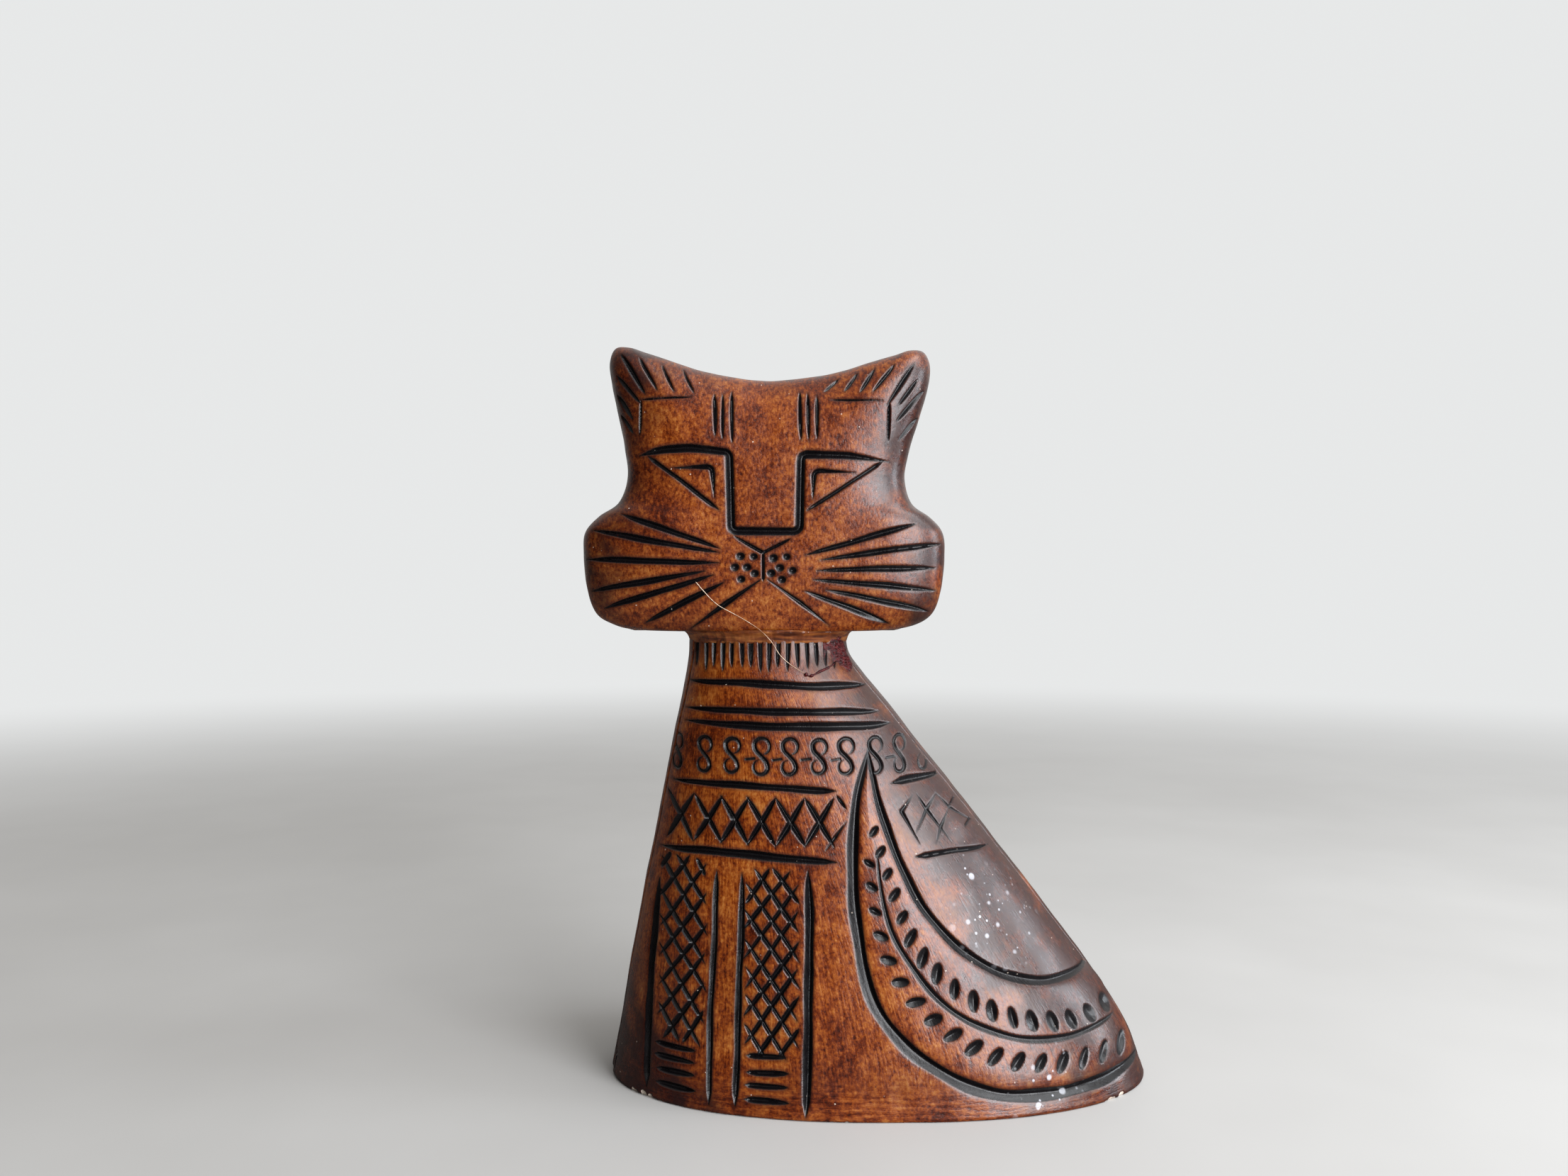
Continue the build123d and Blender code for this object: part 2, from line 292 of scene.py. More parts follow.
def face_cuts():
    """Brows and nose, eyes, muzzle, whiskers, forehead ticks and ear feathers."""
    brow = [(-45.7, 236.6), (-38.1, 238.2), (-28.1, 238.8), (-12.5, 237.4), (-12.1, 207.8),
            (13.4, 207.8), (14.1, 236.4), (29.9, 236.2), (46.8, 234.0)]
    cuts = [stroke(with_round_corners(brow, 2.6), 3.1, taper=(0.07, 0.10))]
    cuts += straight_cuts([(-42.9, 235.8, -17.0, 216.2, 1.7), (44.6, 234.0, 16.7, 215.6, 1.5)])
    for corner, width in [
        ([(-34.1, 231.5), (-19.0, 231.9), (-18.4, 221.0)], 2.0),
        ([(33.6, 229.6), (19.0, 230.4), (18.4, 220.4)], 1.8),
    ]:
        cuts.append(stroke(with_round_corners(corner, 2.4), width, taper=(0.3, 0.25)))
    forehead_ticks = [
        (-18.2, 258.2, -17.9, 244.0, 1.6), (-15.2, 258.8, -14.9, 242.7, 1.2),
        (-11.9, 259.2, -11.6, 241.5, 1.5), (13.7, 259.4, 14.0, 242.5, 1.5),
        (16.6, 259.2, 16.9, 242.2, 1.3), (19.9, 258.2, 20.2, 242.7, 1.4),
    ]
    cuts += straight_cuts(forehead_ticks, (0.4, 0.5))
    # Muzzle: a flat V under the nose, the lip line and the two sides of the mouth
    cuts += straight_cuts([(-10.4, 205.6, -0.1, 199.8, 1.5), (9.6, 204.9, -0.1, 199.8, 1.4)], (0.5, 0.1))
    cuts += straight_cuts([(0.0, 200.2, 0.1, 189.8, 1.2)])
    cuts.append(stroke([(-0.8, 190.0), (-14.1, 180.8), (-27.1, 171.4)], 2.2, taper=(0.25, 0.1)))
    cuts.append(stroke([(2.1, 189.6), (13.9, 181.2), (24.2, 172.9)], 1.8, taper=(0.2, 0.4)))
    whiskers = [
        (-52.2, 214.1, -17.2, 201.7), (-63.6, 208.3, -17.5, 200.0), (-66.4, 197.5, -17.5, 196.0),
        (-64.4, 185.6, -22.6, 192.8), (-59.2, 179.2, -19.5, 191.2), (-43.4, 174.2, -15.6, 188.3),
        (56.5, 210.5, 16.7, 199.2), (66.2, 203.3, 22.2, 197.3), (64.2, 194.3, 21.1, 193.2),
        (64.2, 185.8, 19.8, 189.8), (61.9, 178.1, 24.5, 185.8), (46.5, 173.6, 16.7, 185.2),
    ]
    cuts += straight_cuts([(*ends, 2.6) for ends in whiskers], (0.45, 0.7))
    # Ears: two thin inner lines each, and feather cuts along the edge
    ear_lines = [
        (-45.2, 257.1, -27.1, 258.1, 0.9), (-45.9, 257.1, -46.4, 244.6, 1.1),
        (25.7, 257.1, 44.5, 256.6, 0.9), (47.2, 255.4, 47.0, 242.0, 1.4),
    ]
    cuts += straight_cuts(ear_lines, (0.3, 0.4))
    feathers = [
        (-53.7, 274.6, -44.4, 259.8, 2.0), (-46.7, 273.1, -39.9, 261.0, 1.5),
        (-37.9, 270.2, -33.6, 260.5, 1.2), (-30.1, 269.0, -26.2, 260.2, 1.1),
        (-55.1, 266.5, -46.4, 256.2, 1.7), (-55.1, 259.4, -49.6, 250.6, 1.7),
        (-53.9, 251.9, -49.4, 245.4, 1.4),
        (56.5, 270.9, 46.5, 255.2, 1.8), (49.0, 270.2, 41.4, 260.5, 1.6),
        (41.6, 268.8, 36.5, 260.5, 1.5), (35.1, 267.4, 30.7, 261.1, 1.4),
        (27.8, 265.3, 23.2, 260.7, 1.2), (57.8, 265.0, 51.0, 255.5, 1.6),
        (60.5, 261.0, 50.5, 249.7, 1.8), (58.4, 251.2, 51.2, 242.6, 1.4),
    ]
    cuts += straight_cuts(feathers, (0.5, 0.5))
    # Whisker roots: round pits on both sides of the lip line
    pits = [(-8.4, 198.5), (-3.4, 198.4), (-10.5, 194.4), (-6.0, 194.4), (-3.1, 192.1),
            (-8.2, 190.0), (3.9, 197.8), (8.8, 198.3), (6.2, 194.2), (11.0, 193.2),
            (3.0, 192.2), (7.0, 189.8)]
    for x, h in pits:
        ends = [(x - 0.2, h), (x + 0.2, h)]
        cuts.append(stroke(ends, 2.8, taper=(0.01, 0.01), depth=1.3, wobble=0, overrun=0))
    return cuts


S_CURL = np.array([(0.7, 0.6), (2.5, 1.6), (3.3, 4.0), (1.9, 6.3), (-0.6, 6.6), (-2.6, 4.8),
                   (-2.2, 2.3), (0.0, -0.1), (2.0, -2.6), (2.4, -4.8), (0.6, -6.7),
                   (-1.8, -6.4), (-3.0, -4.2), (-2.2, -2.0), (-0.6, -1.2)])


def body_cuts():
    """Collar, bands, curls, diamonds, legs with their lattice and toes, and the tail."""
    draw = np.random.default_rng(SEED + 1)
    cuts = []
    for x in np.linspace(-27.4, 25.4, 16):
        top = 166.6 + draw.uniform(-0.5, 0.5)
        bottom = 157.2 + draw.uniform(-1.6, 0.8)
        lean = draw.uniform(-0.4, 0.4)
        depth = 1.55 - 0.015 * (x + 27.4)
        ends = [(x, top), (x + lean, bottom)]
        cuts.append(stroke(ends, draw.uniform(1.5, 1.9), taper=(0.1, 0.6), depth=depth))
    bands = [
        ([(-29.6, 151.2), (-6.6, 150.9), (17.8, 149.8), (37.1, 149.5)], 3.0, (0.5, 0.25)),
        ([(-30.6, 140.8), (1.6, 140.6), (42.1, 139.8)], 2.8, (0.5, 0.3)),
        ([(-30.1, 135.9), (-3.5, 135.3), (21.8, 134.9), (45.8, 135.1)], 3.4, (0.6, 0.25)),
        ([(-35.2, 113.5), (-18.6, 113.8), (1.6, 113.1), (24.4, 112.0)], 2.6, (0.4, 0.12)),
        ([(47.2, 114.0), (53.4, 115.0), (67.0, 115.6)], 2.7, (0.12, 0.8)),
        ([(-39.9, 88.4), (-23.6, 89.4), (1.6, 88.4), (24.2, 87.1)], 3.1, (0.4, 0.3)),
        ([(55.2, 88.0), (66.3, 88.8), (83.8, 88.9)], 2.0, (0.15, 0.7)),
    ]
    for points, width, taper in bands:
        cuts.append(stroke(through(points, 3.0), width, taper=taper))
    # Curls: one S repeated round the body, narrower where the body turns away
    for x, narrow in [(-34.6, 0.6), (-23.9, 0.9), (-13.2, 1), (-2.2, 1), (8.3, 1), (19.2, 1),
                      (29.3, 1), (40.6, 0.9), (50.2, 0.8), (59.6, 0.7)]:
        size = draw.uniform(0.90, 0.97)
        curl = through(S_CURL * size * (narrow, 1) + (x, 124.3), 0.8)
        cuts.append(stroke(curl, 1.8 * narrow**0.5, taper=(0.5, 0.6), depth=0.85, wobble=0.06, overrun=0))
    for x in (-6.3, 3.7, 14.3, 25.5, 46.4):
        cuts.append(stroke([(x - 1.6, 123.0), (x + 1.6, 123.4)], 1.0, depth=0.4))
    for x in (-32.9, -22.3, -12.2, -1.8, 8.8, 19.5):
        cuts += crossed((x + draw.uniform(-0.3, 0.3), 100.9), 4.9, 7.8, 2.3)
    cuts.append(stroke([(25.9, 109.8), (28.6, 106.2)], 1.4, taper=(0.5, 0.5)))
    cuts.append(stroke([(21.7, 91.4), (24.9, 95.6), (28.6, 100.5)], 1.4, taper=(0.4, 0.6)))
    flank = [
        [(54.2, 109.0), (50.0, 104.0), (56.2, 93.0)], [(56.5, 109.2), (59.7, 104.0), (68.8, 92.2)],
        [(63.8, 108.9), (59.8, 104.2), (55.2, 96.4)], [(68.7, 103.0), (65.2, 97.8), (62.8, 92.6)],
        [(64.2, 108.7), (69.2, 103.6), (78.0, 98.2)], [(71.6, 106.4), (69.1, 104.1)],
        [(77.8, 98.5), (75.3, 96.5)],
    ]
    for points, width in zip(flank, (1.9, 1.5, 1.4, 1.4, 1.1, 0.8, 0.8)):
        cuts.append(stroke(points, width, taper=(0.25, 0.4), depth=0.8))
    # Where the seam has opened beside the foot's corner; its black is painted shade inside the crack
    slit = np.array([(-95.2, 17.5), (-95.9, 12.0), (-95.4, 8.0), (-96.1, 3.0)]) - (NECK_X, 0)
    cuts.append(stroke(slit, 1.1, taper=(0.3, 0.1), depth=0.9))
    return cuts + leg_cuts(draw) + tail_cuts(draw)


def leg_cuts(draw):
    """Two front legs: a long cut down each side, crossed cuts between, toes below."""
    cuts = []
    sides = [
        ([(-41.1, 75.6), (-43.1, 50.5), (-44.4, 23.8), (-44.2, 4.8)], 2.8),
        ([(-18.5, 81.6), (-19.2, 61.3), (-20.4, 35.1), (-20.6, 3.6)], 2.3),
        ([(-9.1, 81.2), (-9.4, 62.2), (-10.2, 36.1), (-11.0, 4.0)], 2.4),
        ([(15.0, 82.8), (15.4, 63.2), (14.9, 37.6), (14.1, 2.8)], 3.3),
    ]
    for points, width in sides:
        cuts.append(stroke(through(points, 3.0), width, taper=(0.2, 0.12)))
    cuts += lattice(-40.0, -23.0, 22.0, 86.0, 10.3, 1.34, 1.9, draw)
    cuts += lattice(-7.6, 11.0, 20.5, 83.5, 9.7, 1.36, 1.8, draw)
    for left, right, heights in [
        (-40.4, -27.0, (19.4, 15.3, 11.0, 6.2)),
        (-6.8, 6.8, (20.1, 15.0, 10.7, 5.8)),
    ]:
        for h in heights:
            a = (left + draw.uniform(-0.7, 0.7), h + draw.uniform(-0.3, 0.3))
            b = (right + draw.uniform(-0.7, 0.7), h + draw.uniform(-0.3, 0.3))
            cuts.append(stroke([a, b], 2.2, taper=(0.3, 0.5)))
    return cuts


TAIL_OUTER = [(37.8, 125.6), (33.1, 109.2), (31.2, 83.7), (33.0, 60.6), (37.5, 40.6), (48.8, 25.3),
              (63.0, 15.3), (77.2, 9.4), (97.2, 6.6), (118.8, 7.4), (140.3, 9.6)]
TAIL_INNER = [(37.8, 125.6), (41.6, 106.0), (48.8, 86.0), (57.9, 69.0), (69.5, 56.6), (84.5, 47.4),
              (100.2, 42.7), (112.3, 42.4), (124.3, 43.4)]
TAIL_MIDDLE = [(39.9, 91.0), (41.1, 79.8), (44.7, 63.2), (53.2, 49.4), (65.5, 36.4), (79.2, 29.0),
               (93.2, 25.0), (109.3, 23.8), (129.3, 25.6)]
INNER_LEAVES = [(39.1, 97.4), (45.2, 78.3), (54.9, 55.2), (73.2, 39.1), (93.7, 30.9), (114.7, 28.8),
                (126.8, 29.8)]
OUTER_LEAVES = [(37.2, 86.4), (39.6, 67.4), (45.5, 49.6), (57.7, 34.9), (77.3, 21.8), (100.0, 16.5),
                (131.8, 16.4)]


def leaf_row(points, count, lean_start, lean_end, draw):
    """Short tapered pits set at a slant along a curve."""
    path = through(points, 0.5)
    picks = np.linspace(0, len(path) - 1, count).astype(int)
    along = np.gradient(path, axis=0)
    cuts = []
    for number, pick in enumerate(picks):
        share = number / (count - 1)
        heading = math.atan2(along[pick][1], along[pick][0])
        angle = heading + math.radians(lean_start + (lean_end - lean_start) * share)
        half_length = (1.5 + 1.1 * min(1, share * 2.5)) * draw.uniform(0.9, 1.15)
        reach = half_length * np.array([math.cos(angle), math.sin(angle)])
        width = (2.6 + 1.2 * min(1, share * 2.5)) * draw.uniform(0.9, 1.1)
        ends = [path[pick] - reach, path[pick] + reach]
        cuts.append(stroke(ends, width, taper=(0.5, 0.5), depth=1.35, wobble=0, overrun=0.12))
    return cuts


def tail_cuts(draw):
    """The tail curls from a point below the collar round to the side of the foot."""
    cuts = [
        stroke(through(TAIL_OUTER, 2.0), 4.3, taper=(0.25, 0.08), depth=1.7),
        stroke(through(TAIL_INNER, 2.0), 3.2, taper=(0.25, 0.20), depth=1.45),
        stroke(through(TAIL_MIDDLE, 2.0), 2.3, taper=(0.5, 0.2), depth=0.95),
    ]
    cuts += leaf_row(INNER_LEAVES, 17, -60, -58, draw)
    cuts += leaf_row(OUTER_LEAVES, 17, 50, 66, draw)
    return cuts


# ---------------------------------------------------------------- forms

def body_oval(height, turn, inset, front):
    """Point on the body at a height and a turn round it, drawn in by an inset."""
    size = (BODY_HIGH - BODY_LOW) / (BODY_SECTIONS[0, 2], 2 * BODY_SECTIONS[0, 3], BODY_SECTIONS[-1, 0])
    share = height / NECK_TOP
    sections = hermite(share * BODY_SECTIONS[-1, 0], BODY_SECTIONS[:, 0], BODY_SECTIONS[:, 1:])
    left, right, deep = np.moveaxis(sections, -1, 0)
    centre = BODY_LOW[0] + size[0] * (left + right) / 2
    half_width = size[0] * (right - left) / 2 - inset
    half_depth = size[1] * deep - inset
    power = FOOT_SQUARENESS + (NECK_SQUARENESS - FOOT_SQUARENESS) * share
    reach = (np.abs(np.cos(turn)) ** power + np.abs(np.sin(turn)) ** power) ** (-1 / power)
    x = centre + half_width * np.cos(turn) * reach
    y = half_depth * np.sin(turn) * reach * (-1 if front else 1)
    return x, y


def seam_turn(height, seam_y, inset, front):
    """The turn at which the body's oval crosses its seam plane, from its right edge."""
    side = -1 if front else 1
    low = np.full(height.shape, -1.2)
    high = np.full(height.shape, 1.2)
    for _ in range(30):
        middle = (low + high) / 2
        _, y = body_oval(height, middle, inset, front)
        past = side * y > side * seam_y
        high = np.where(past, middle, high)
        low = np.where(past, low, middle)
    return (low + high) / 2


def even_turns(count):
    """Shares of a half turn that space points evenly round a flat oval."""
    turn = np.linspace(0, math.pi, 721)
    step = np.hypot(FOOT_FLATNESS * np.sin(turn), np.cos(turn))
    run = np.r_[0, np.cumsum((step[1:] + step[:-1]) / 2)]
    return np.interp(np.linspace(0, run[-1], count), run, turn) / math.pi


def body_grid(rows, columns, inset, seam_y, front):
    """Grid over half of the body, from the foot up and from one seam to the other."""
    height = np.linspace(0, NECK_TOP, rows + 1)
    first = seam_turn(height, seam_y, inset, front)[:, None]
    turn = first + (math.pi - 2 * first) * even_turns(columns + 1)[None, :]
    tall = np.repeat(height[:, None], columns + 1, axis=1)
    x, y = body_oval(tall, turn, inset, front)
    return np.stack([x, y, tall], axis=-1), turn


def outward_normals(grid, centre):
    """Unit normals of a grid, turned to point away from a centre."""
    normal = np.cross(np.gradient(grid, axis=1), np.gradient(grid, axis=0))
    normal /= np.maximum(np.linalg.norm(normal, axis=-1, keepdims=True), 1e-9)
    facing = ((grid - centre) * normal).sum(-1).mean()
    return normal if facing > 0 else -normal


def head_outline(samples):
    """The whole outline as a closed curve, starting at the right edge and running up."""
    fit = (HEAD_HIGH[0] - HEAD_LOW[0]) / 2 / HEAD_HALF_WIDTH
    half = HEAD_OUTLINE * fit
    loop = np.r_[half[::-1], half[1:-1] * (-1, 1)]
    share = np.clip((loop[:, 1] - LEAN_START) / (LEAN_END - LEAN_START), 0, 1)
    loop = loop + np.c_[LEAN * share, -TILT * loop[:, 0] * share]
    closed = np.r_[loop[-3:], loop, loop[:4]]
    knots = np.r_[0, np.cumsum(np.hypot(*np.diff(closed, axis=0).T) ** 0.5)]
    at = np.linspace(knots[3], knots[-4], samples * 4, endpoint=False)
    curve = hermite(at, knots, closed)
    angle = np.arctan2(curve[:, 1] - HEAD_CENTRE_HEIGHT * fit, curve[:, 0])
    corners = []
    for wanted in (0, math.pi / 2, math.pi, -math.pi / 2):
        gap = np.abs((angle - wanted + math.pi) % (2 * math.pi) - math.pi)
        corners.append(int(np.argmin(gap)))
    whole = []
    for start, end in zip(corners, corners[1:] + corners[:1]):
        picks = np.arange(start, end if end > start else end + len(curve)) % len(curve)
        piece = np.r_[curve[picks], curve[[end]]]
        run = np.r_[0, np.cumsum(np.hypot(*np.diff(piece, axis=0).T))]
        even = np.linspace(0, run[-1], samples // 4, endpoint=False)
        whole.append(np.c_[np.interp(even, run, piece[:, 0]), np.interp(even, run, piece[:, 1])])
    return np.concatenate(whole)


def head_rings(count, half_depth, seam_depth):
    """Ring sizes and depths, evenly spaced over the pillow from its middle to its seam."""
    angle = np.linspace(math.pi / 2, 0, 4001)
    ring = np.cos(angle) ** (2 / HEAD_ROUNDNESS)
    rise = half_depth * np.sin(angle) ** (2 / HEAD_ROUNDNESS)
    keep = rise >= seam_depth
    if seam_depth < 0:
        extra = np.linspace(0, seam_depth, 40)[1:]
        ring = np.r_[ring, (1 - (np.abs(extra) / half_depth) ** HEAD_ROUNDNESS) ** (1 / HEAD_ROUNDNESS)]
        rise = np.r_[rise, extra]
    else:
        ring, rise = ring[keep], rise[keep]
    run = np.r_[0, np.cumsum(np.hypot(np.diff(ring) * 60, np.diff(rise)))]
    even = np.linspace(0, run[-1], count + 1)
    return np.interp(even, run, ring), np.interp(even, run, rise)


def head_grid(rings, scale, half_depth, floor, seam_y, front):
    """Square grid wrapped over half of the head, with its underside pressed flat."""
    side = -1 if front else 1
    size, rise = head_rings(rings, half_depth, seam_y * side)
    index = np.arange(-rings, rings + 1)
    across, up = np.meshgrid(index, index)
    ring = np.maximum(np.abs(across), np.abs(up))
    safe = np.maximum(ring, 1)
    place = np.where(up == -ring, 6 * ring + across, 0)
    place = np.where(across == -ring, 4 * ring - up, place)
    place = np.where(up == ring, 2 * ring - across, place)
    place = np.where((across == ring) & (up != ring), up, place)
    share = (place / (8 * safe)) % 1.0
    outline = head_outline(8 * rings)
    spot = share * len(outline)
    first = np.floor(spot).astype(int) % len(outline)
    part = (spot - np.floor(spot))[..., None]
    edge = outline[first] * (1 - part) + outline[(first + 1) % len(outline)] * part
    centre = np.array([0.0, HEAD_CENTRE_HEIGHT])
    flat = centre + (edge - centre) * (size[ring] * scale)[..., None]
    flat[ring == 0] = centre
    above = flat[..., 1] - floor
    softness = 1.4
    tall = floor + (above + np.sqrt(above**2 + softness**2)) / 2
    return np.stack([flat[..., 0] + HEAD_X, side * rise[ring], tall + HEAD_LOW[2]], axis=-1)


# ---------------------------------------------------------------- mesh building

def boundary(rows, columns):
    """Grid indices round the edge of a grid, in order."""
    grid = np.arange((rows + 1) * (columns + 1)).reshape(rows + 1, columns + 1)
    return np.concatenate([grid[0, :-1], grid[:-1, -1], grid[-1, :0:-1], grid[:0:-1, 0]])


def grid_faces(rows, columns, start=0):
    grid = start + np.arange((rows + 1) * (columns + 1)).reshape(rows + 1, columns + 1)
    return np.stack([grid[:-1, :-1], grid[:-1, 1:], grid[1:, 1:], grid[1:, :-1]], -1).reshape(-1, 4)


SMOOTH_ANGLE = 50
SHELL_SMOOTH_ANGLE = 80


def make_piece(name, points, faces, smooth_angle=SMOOTH_ANGLE):
    """A mesh object in place, with its faces turned outwards and sharp edges kept."""
    points = np.maximum(points, (-math.inf, -math.inf, 0))
    mesh = bpy.data.meshes.new(name)
    mesh.from_pydata((points * MM).tolist(), [], faces)
    work = bmesh.new()
    work.from_mesh(mesh)
    bmesh.ops.recalc_face_normals(work, faces=work.faces)
    work.to_mesh(mesh)
    work.free()
    mesh.polygons.foreach_set("use_smooth", np.ones(len(mesh.polygons), bool))
    mesh.set_sharp_from_angle(angle=math.radians(smooth_angle))
    piece = bpy.data.objects.new(name, mesh)
    bpy.context.scene.collection.objects.link(piece)
    return piece


def shell_piece(name, outer, inner):
    """A closed shell from a fine outer grid and a coarser inner grid."""
    rows, columns = outer.shape[0] - 1, outer.shape[1] - 1
    inner_rows, inner_columns = inner.shape[0] - 1, inner.shape[1] - 1
    start = outer.shape[0] * outer.shape[1]
    outer_edge = boundary(rows, columns).tolist()
    inner_edge = (start + boundary(inner_rows, inner_columns)).tolist()
    ratio = len(outer_edge) // len(inner_edge)
    outer_edge.append(outer_edge[0])
    inner_edge.append(inner_edge[0])
    faces = grid_faces(rows, columns).tolist()
    faces += grid_faces(inner_rows, inner_columns, start)[:, ::-1].tolist()
    for k in range(len(inner_edge) - 1):
        fine = outer_edge[k * ratio:(k + 1) * ratio + 1]
        faces.append(fine[::-1] + inner_edge[k:k + 2])
    points = np.r_[outer.reshape(-1, 3), inner.reshape(-1, 3)]
    return make_piece(name, points, faces, SHELL_SMOOTH_ANGLE)


def swept_faces(count, around, closed, start=0):
    """Faces through a row of loops, joined end to end or capped."""
    index = start + np.arange(count * around).reshape(count, around)
    ahead = np.roll(index, -1, axis=0) if closed else index[1:]
    here = index if closed else index[:-1]
    corners = [here, np.roll(here, -1, axis=1), np.roll(ahead, -1, axis=1), ahead]
    faces = np.stack(corners, -1).reshape(-1, 4).tolist()
    if not closed:
        faces.append(index[0][::-1].tolist())
        faces.append(index[-1].tolist())
    return faces


def swept_piece(name, sections, closed):
    """A closed mesh through a row of loops."""
    faces = swept_faces(*sections.shape[:2], closed)
    return make_piece(name, sections.reshape(-1, 3), faces)


def paint(piece, name, values):
    """Store one number per vertex for the material to read; short lists are padded."""
    mesh = piece.data
    full = np.zeros(len(mesh.vertices), np.float32)
    values = np.asarray(values, np.float32).ravel()
    full[:len(values)] = values
    attribute = mesh.attributes.new(name, "FLOAT", "POINT")
    attribute.data.foreach_set("value", full)


# ---------------------------------------------------------------- surface features

# Chips in the foot's edge: middle x, half length and height
FOOT_CHIPS = [
    (-86.8, 1.9, 1.4), (-83.2, 2.6, 1.7), (-80.0, 2.2, 1.9), (-76.6, 1.2, 1.0),
    (-13.2, 2.8, 0.8), (-9.0, 1.2, 0.7), (88.5, 3.0, 1.0), (93.0, 2.0, 1.1),
]
# Dark stain and painted shade: middle x and height, half sizes and strength. The spots at the foot's low-x
# corner are stain; the band under the chin is painted shade; those on the flank and the head's high-x edge,
# which face the window lights, are painted shade that keeps those lit sides dark; the others make the low-x
# side and the foot darker.
STAIN_AND_SHADE_SPOTS = [
    (-93, 8, 14, 28, 1.2), (-79, 10, 9, 12, 0.8), (30, 116, 7, 25, 0.3), (-75, 4, 16, 9, 0.7),
    (-60, 2, 22, 5, 0.35), (-92, 60, 7, 45, 0.45), (-39, 166, 34, 4, 0.4), (-67, 171, 12, 5, 0.55),
    (-103, 186, 14, 26, 0.6), (-94, 240, 14, 40, 0.6), (-88, 268, 14, 14, 0.45),
    (-38, 264, 34, 5, 0.25), (-28, 12, 9, 8, 0.25), (100, 6, 9, 8, 0.4), (50, 78, 17, 30, 0.75),
    (74, 45, 26, 12, 0.5), (28, 112, 14, 22, 0.3), (18, 236, 12, 26, 0.35), (22, 262, 8, 20, 0.3),
    (12, 12, 30, 7, 0.2),
]
# Pale specks: middle x and height, and spread
SPECK_PATCHES = [(44, 66, 15), (52, 60, 12), (62, 9, 14), (38, 82, 6)]
# The foot's edge is rounded; the edges at a seam are rounded and also sink less than their radius
EDGE_ROUND = 1.3
SEAM_EDGE = 0.7
SEAM_EDGE_DROP = 0.5
# How deep the chips and the opened seam go, and how far the tail stands proud
CHIP_DEPTH = 0.7
GAP_DEPTH_FRONT, GAP_DEPTH_REAR = 0.9, 0.5
TAIL_RAISED = 0.9
BODY_CENTRE = np.array([0.0, 0.0, NECK_TOP / 2])


def stain_and_shade_at(grid):
    """How dark the stain and the painted shade lie: in spots, and as painted shade where the form turns to
    the figure's left, towards the window lights.
    """
    x, height = grid[..., 0], grid[..., 2]
    middle = grid.reshape(-1, 3).mean(0) * (1, 0, 1)
    # Painted shade, growing as the surface turns towards the window lights at high x
    total = 0.90 * smoothstep(0.06, 0.50, outward_normals(grid, middle)[..., 0])
    for cx, ch, rx, rh, strength in STAIN_AND_SHADE_SPOTS:
        total += strength * np.exp(-(((x - cx) / rx) ** 2) - ((height - ch) / rh) ** 2)
    total *= 1 + 0.35 * ripple(grid, 14, SEED + 5)
    return np.clip(total, 0, 1)


def hand_shape(grid):
    """Slight unevenness of a hand-worked form, the same on both sides of a seam."""
    return 0.16 * ripple(grid, 34, SEED + 2) + 0.05 * ripple(grid, 9, SEED + 3)


def edge_drop(distance, radius):
    """How far a rounded edge falls back, by distance from that edge."""
    near = np.clip(distance / radius, 0, 1)
    return radius * (1 - np.sqrt(1 - (1 - near) ** 2))


def foot_chips(grid):
    """Chips in the foot's lower edge, from 0 to 1."""
    x, height = grid[..., 0], grid[..., 2]
    rough = ripple(grid, 2.2, SEED + 7)
    chips = np.zeros(x.shape)
    for cx, half_length, tall in FOOT_CHIPS:
        chip = 1 - ((x - cx) / half_length) ** 2 - height / tall + 0.35 * rough
        chips = np.maximum(chips, np.clip(chip * 3, 0, 1))
    return chips * (grid[..., 1] < 0)


def open_seam(grid, seam_y):
    """Where the seam has opened at the foot's two corners, from 0 to 1."""
    away = np.abs(grid[..., 1] - seam_y)
    height = grid[..., 2]
    tall = smoothstep(23, 15, height + 2.0 * ripple(grid, 5, SEED + 9))
    rough = 0.5 * ripple(grid, 2.5, SEED + 8)
    return np.clip((2.4 * tall + rough * tall - away) / 0.6, 0, 1)


def tail_relief(x, height):
    """The tail's band stands slightly proud between its two outlines, by place from the neck."""
    outer, inner = through(TAIL_OUTER, 3.0), through(TAIL_INNER, 3.0)
    ring = np.r_[outer, inner[::-1]]
    inside = np.zeros(x.shape, bool)
    for (x0, h0), (x1, h1) in zip(ring, np.roll(ring, -1, axis=0)):
        crosses = (h0 > height) != (h1 > height)
        inside ^= crosses & (x < (x1 - x0) * (height - h0) / (h1 - h0 + 1e-9) + x0)
    spots = np.nonzero(inside.ravel())[0]
    px, ph = x.ravel()[spots], height.ravel()[spots]
    nearest = np.full(len(spots), 99.0)
    for path in (outer, inner):
        for a, b in zip(path, path[1:]):
            d = b - a
            t = np.clip(((px - a[0]) * d[0] + (ph - a[1]) * d[1]) / (d @ d), 0, 1)
            nearest = np.minimum(nearest, np.hypot(px - a[0] - t * d[0], ph - a[1] - t * d[1]))
    lift = np.zeros(x.size)
    lift[spots] = TAIL_RAISED * (1 - np.exp(-np.clip(nearest - 1.0, 0, None) / 3.0))
    return lift.reshape(x.shape)


# ---------------------------------------------------------------- pieces

def paint_shell(piece, cut, across, along, stain_and_shade, chip):
    """Give a shell the vertex values that its material reads."""
    paint(piece, "cut", cut)
    paint(piece, "across", across)
    paint(piece, "along", along)
    paint(piece, "stain_and_shade", stain_and_shade)
    paint(piece, "chip", chip)


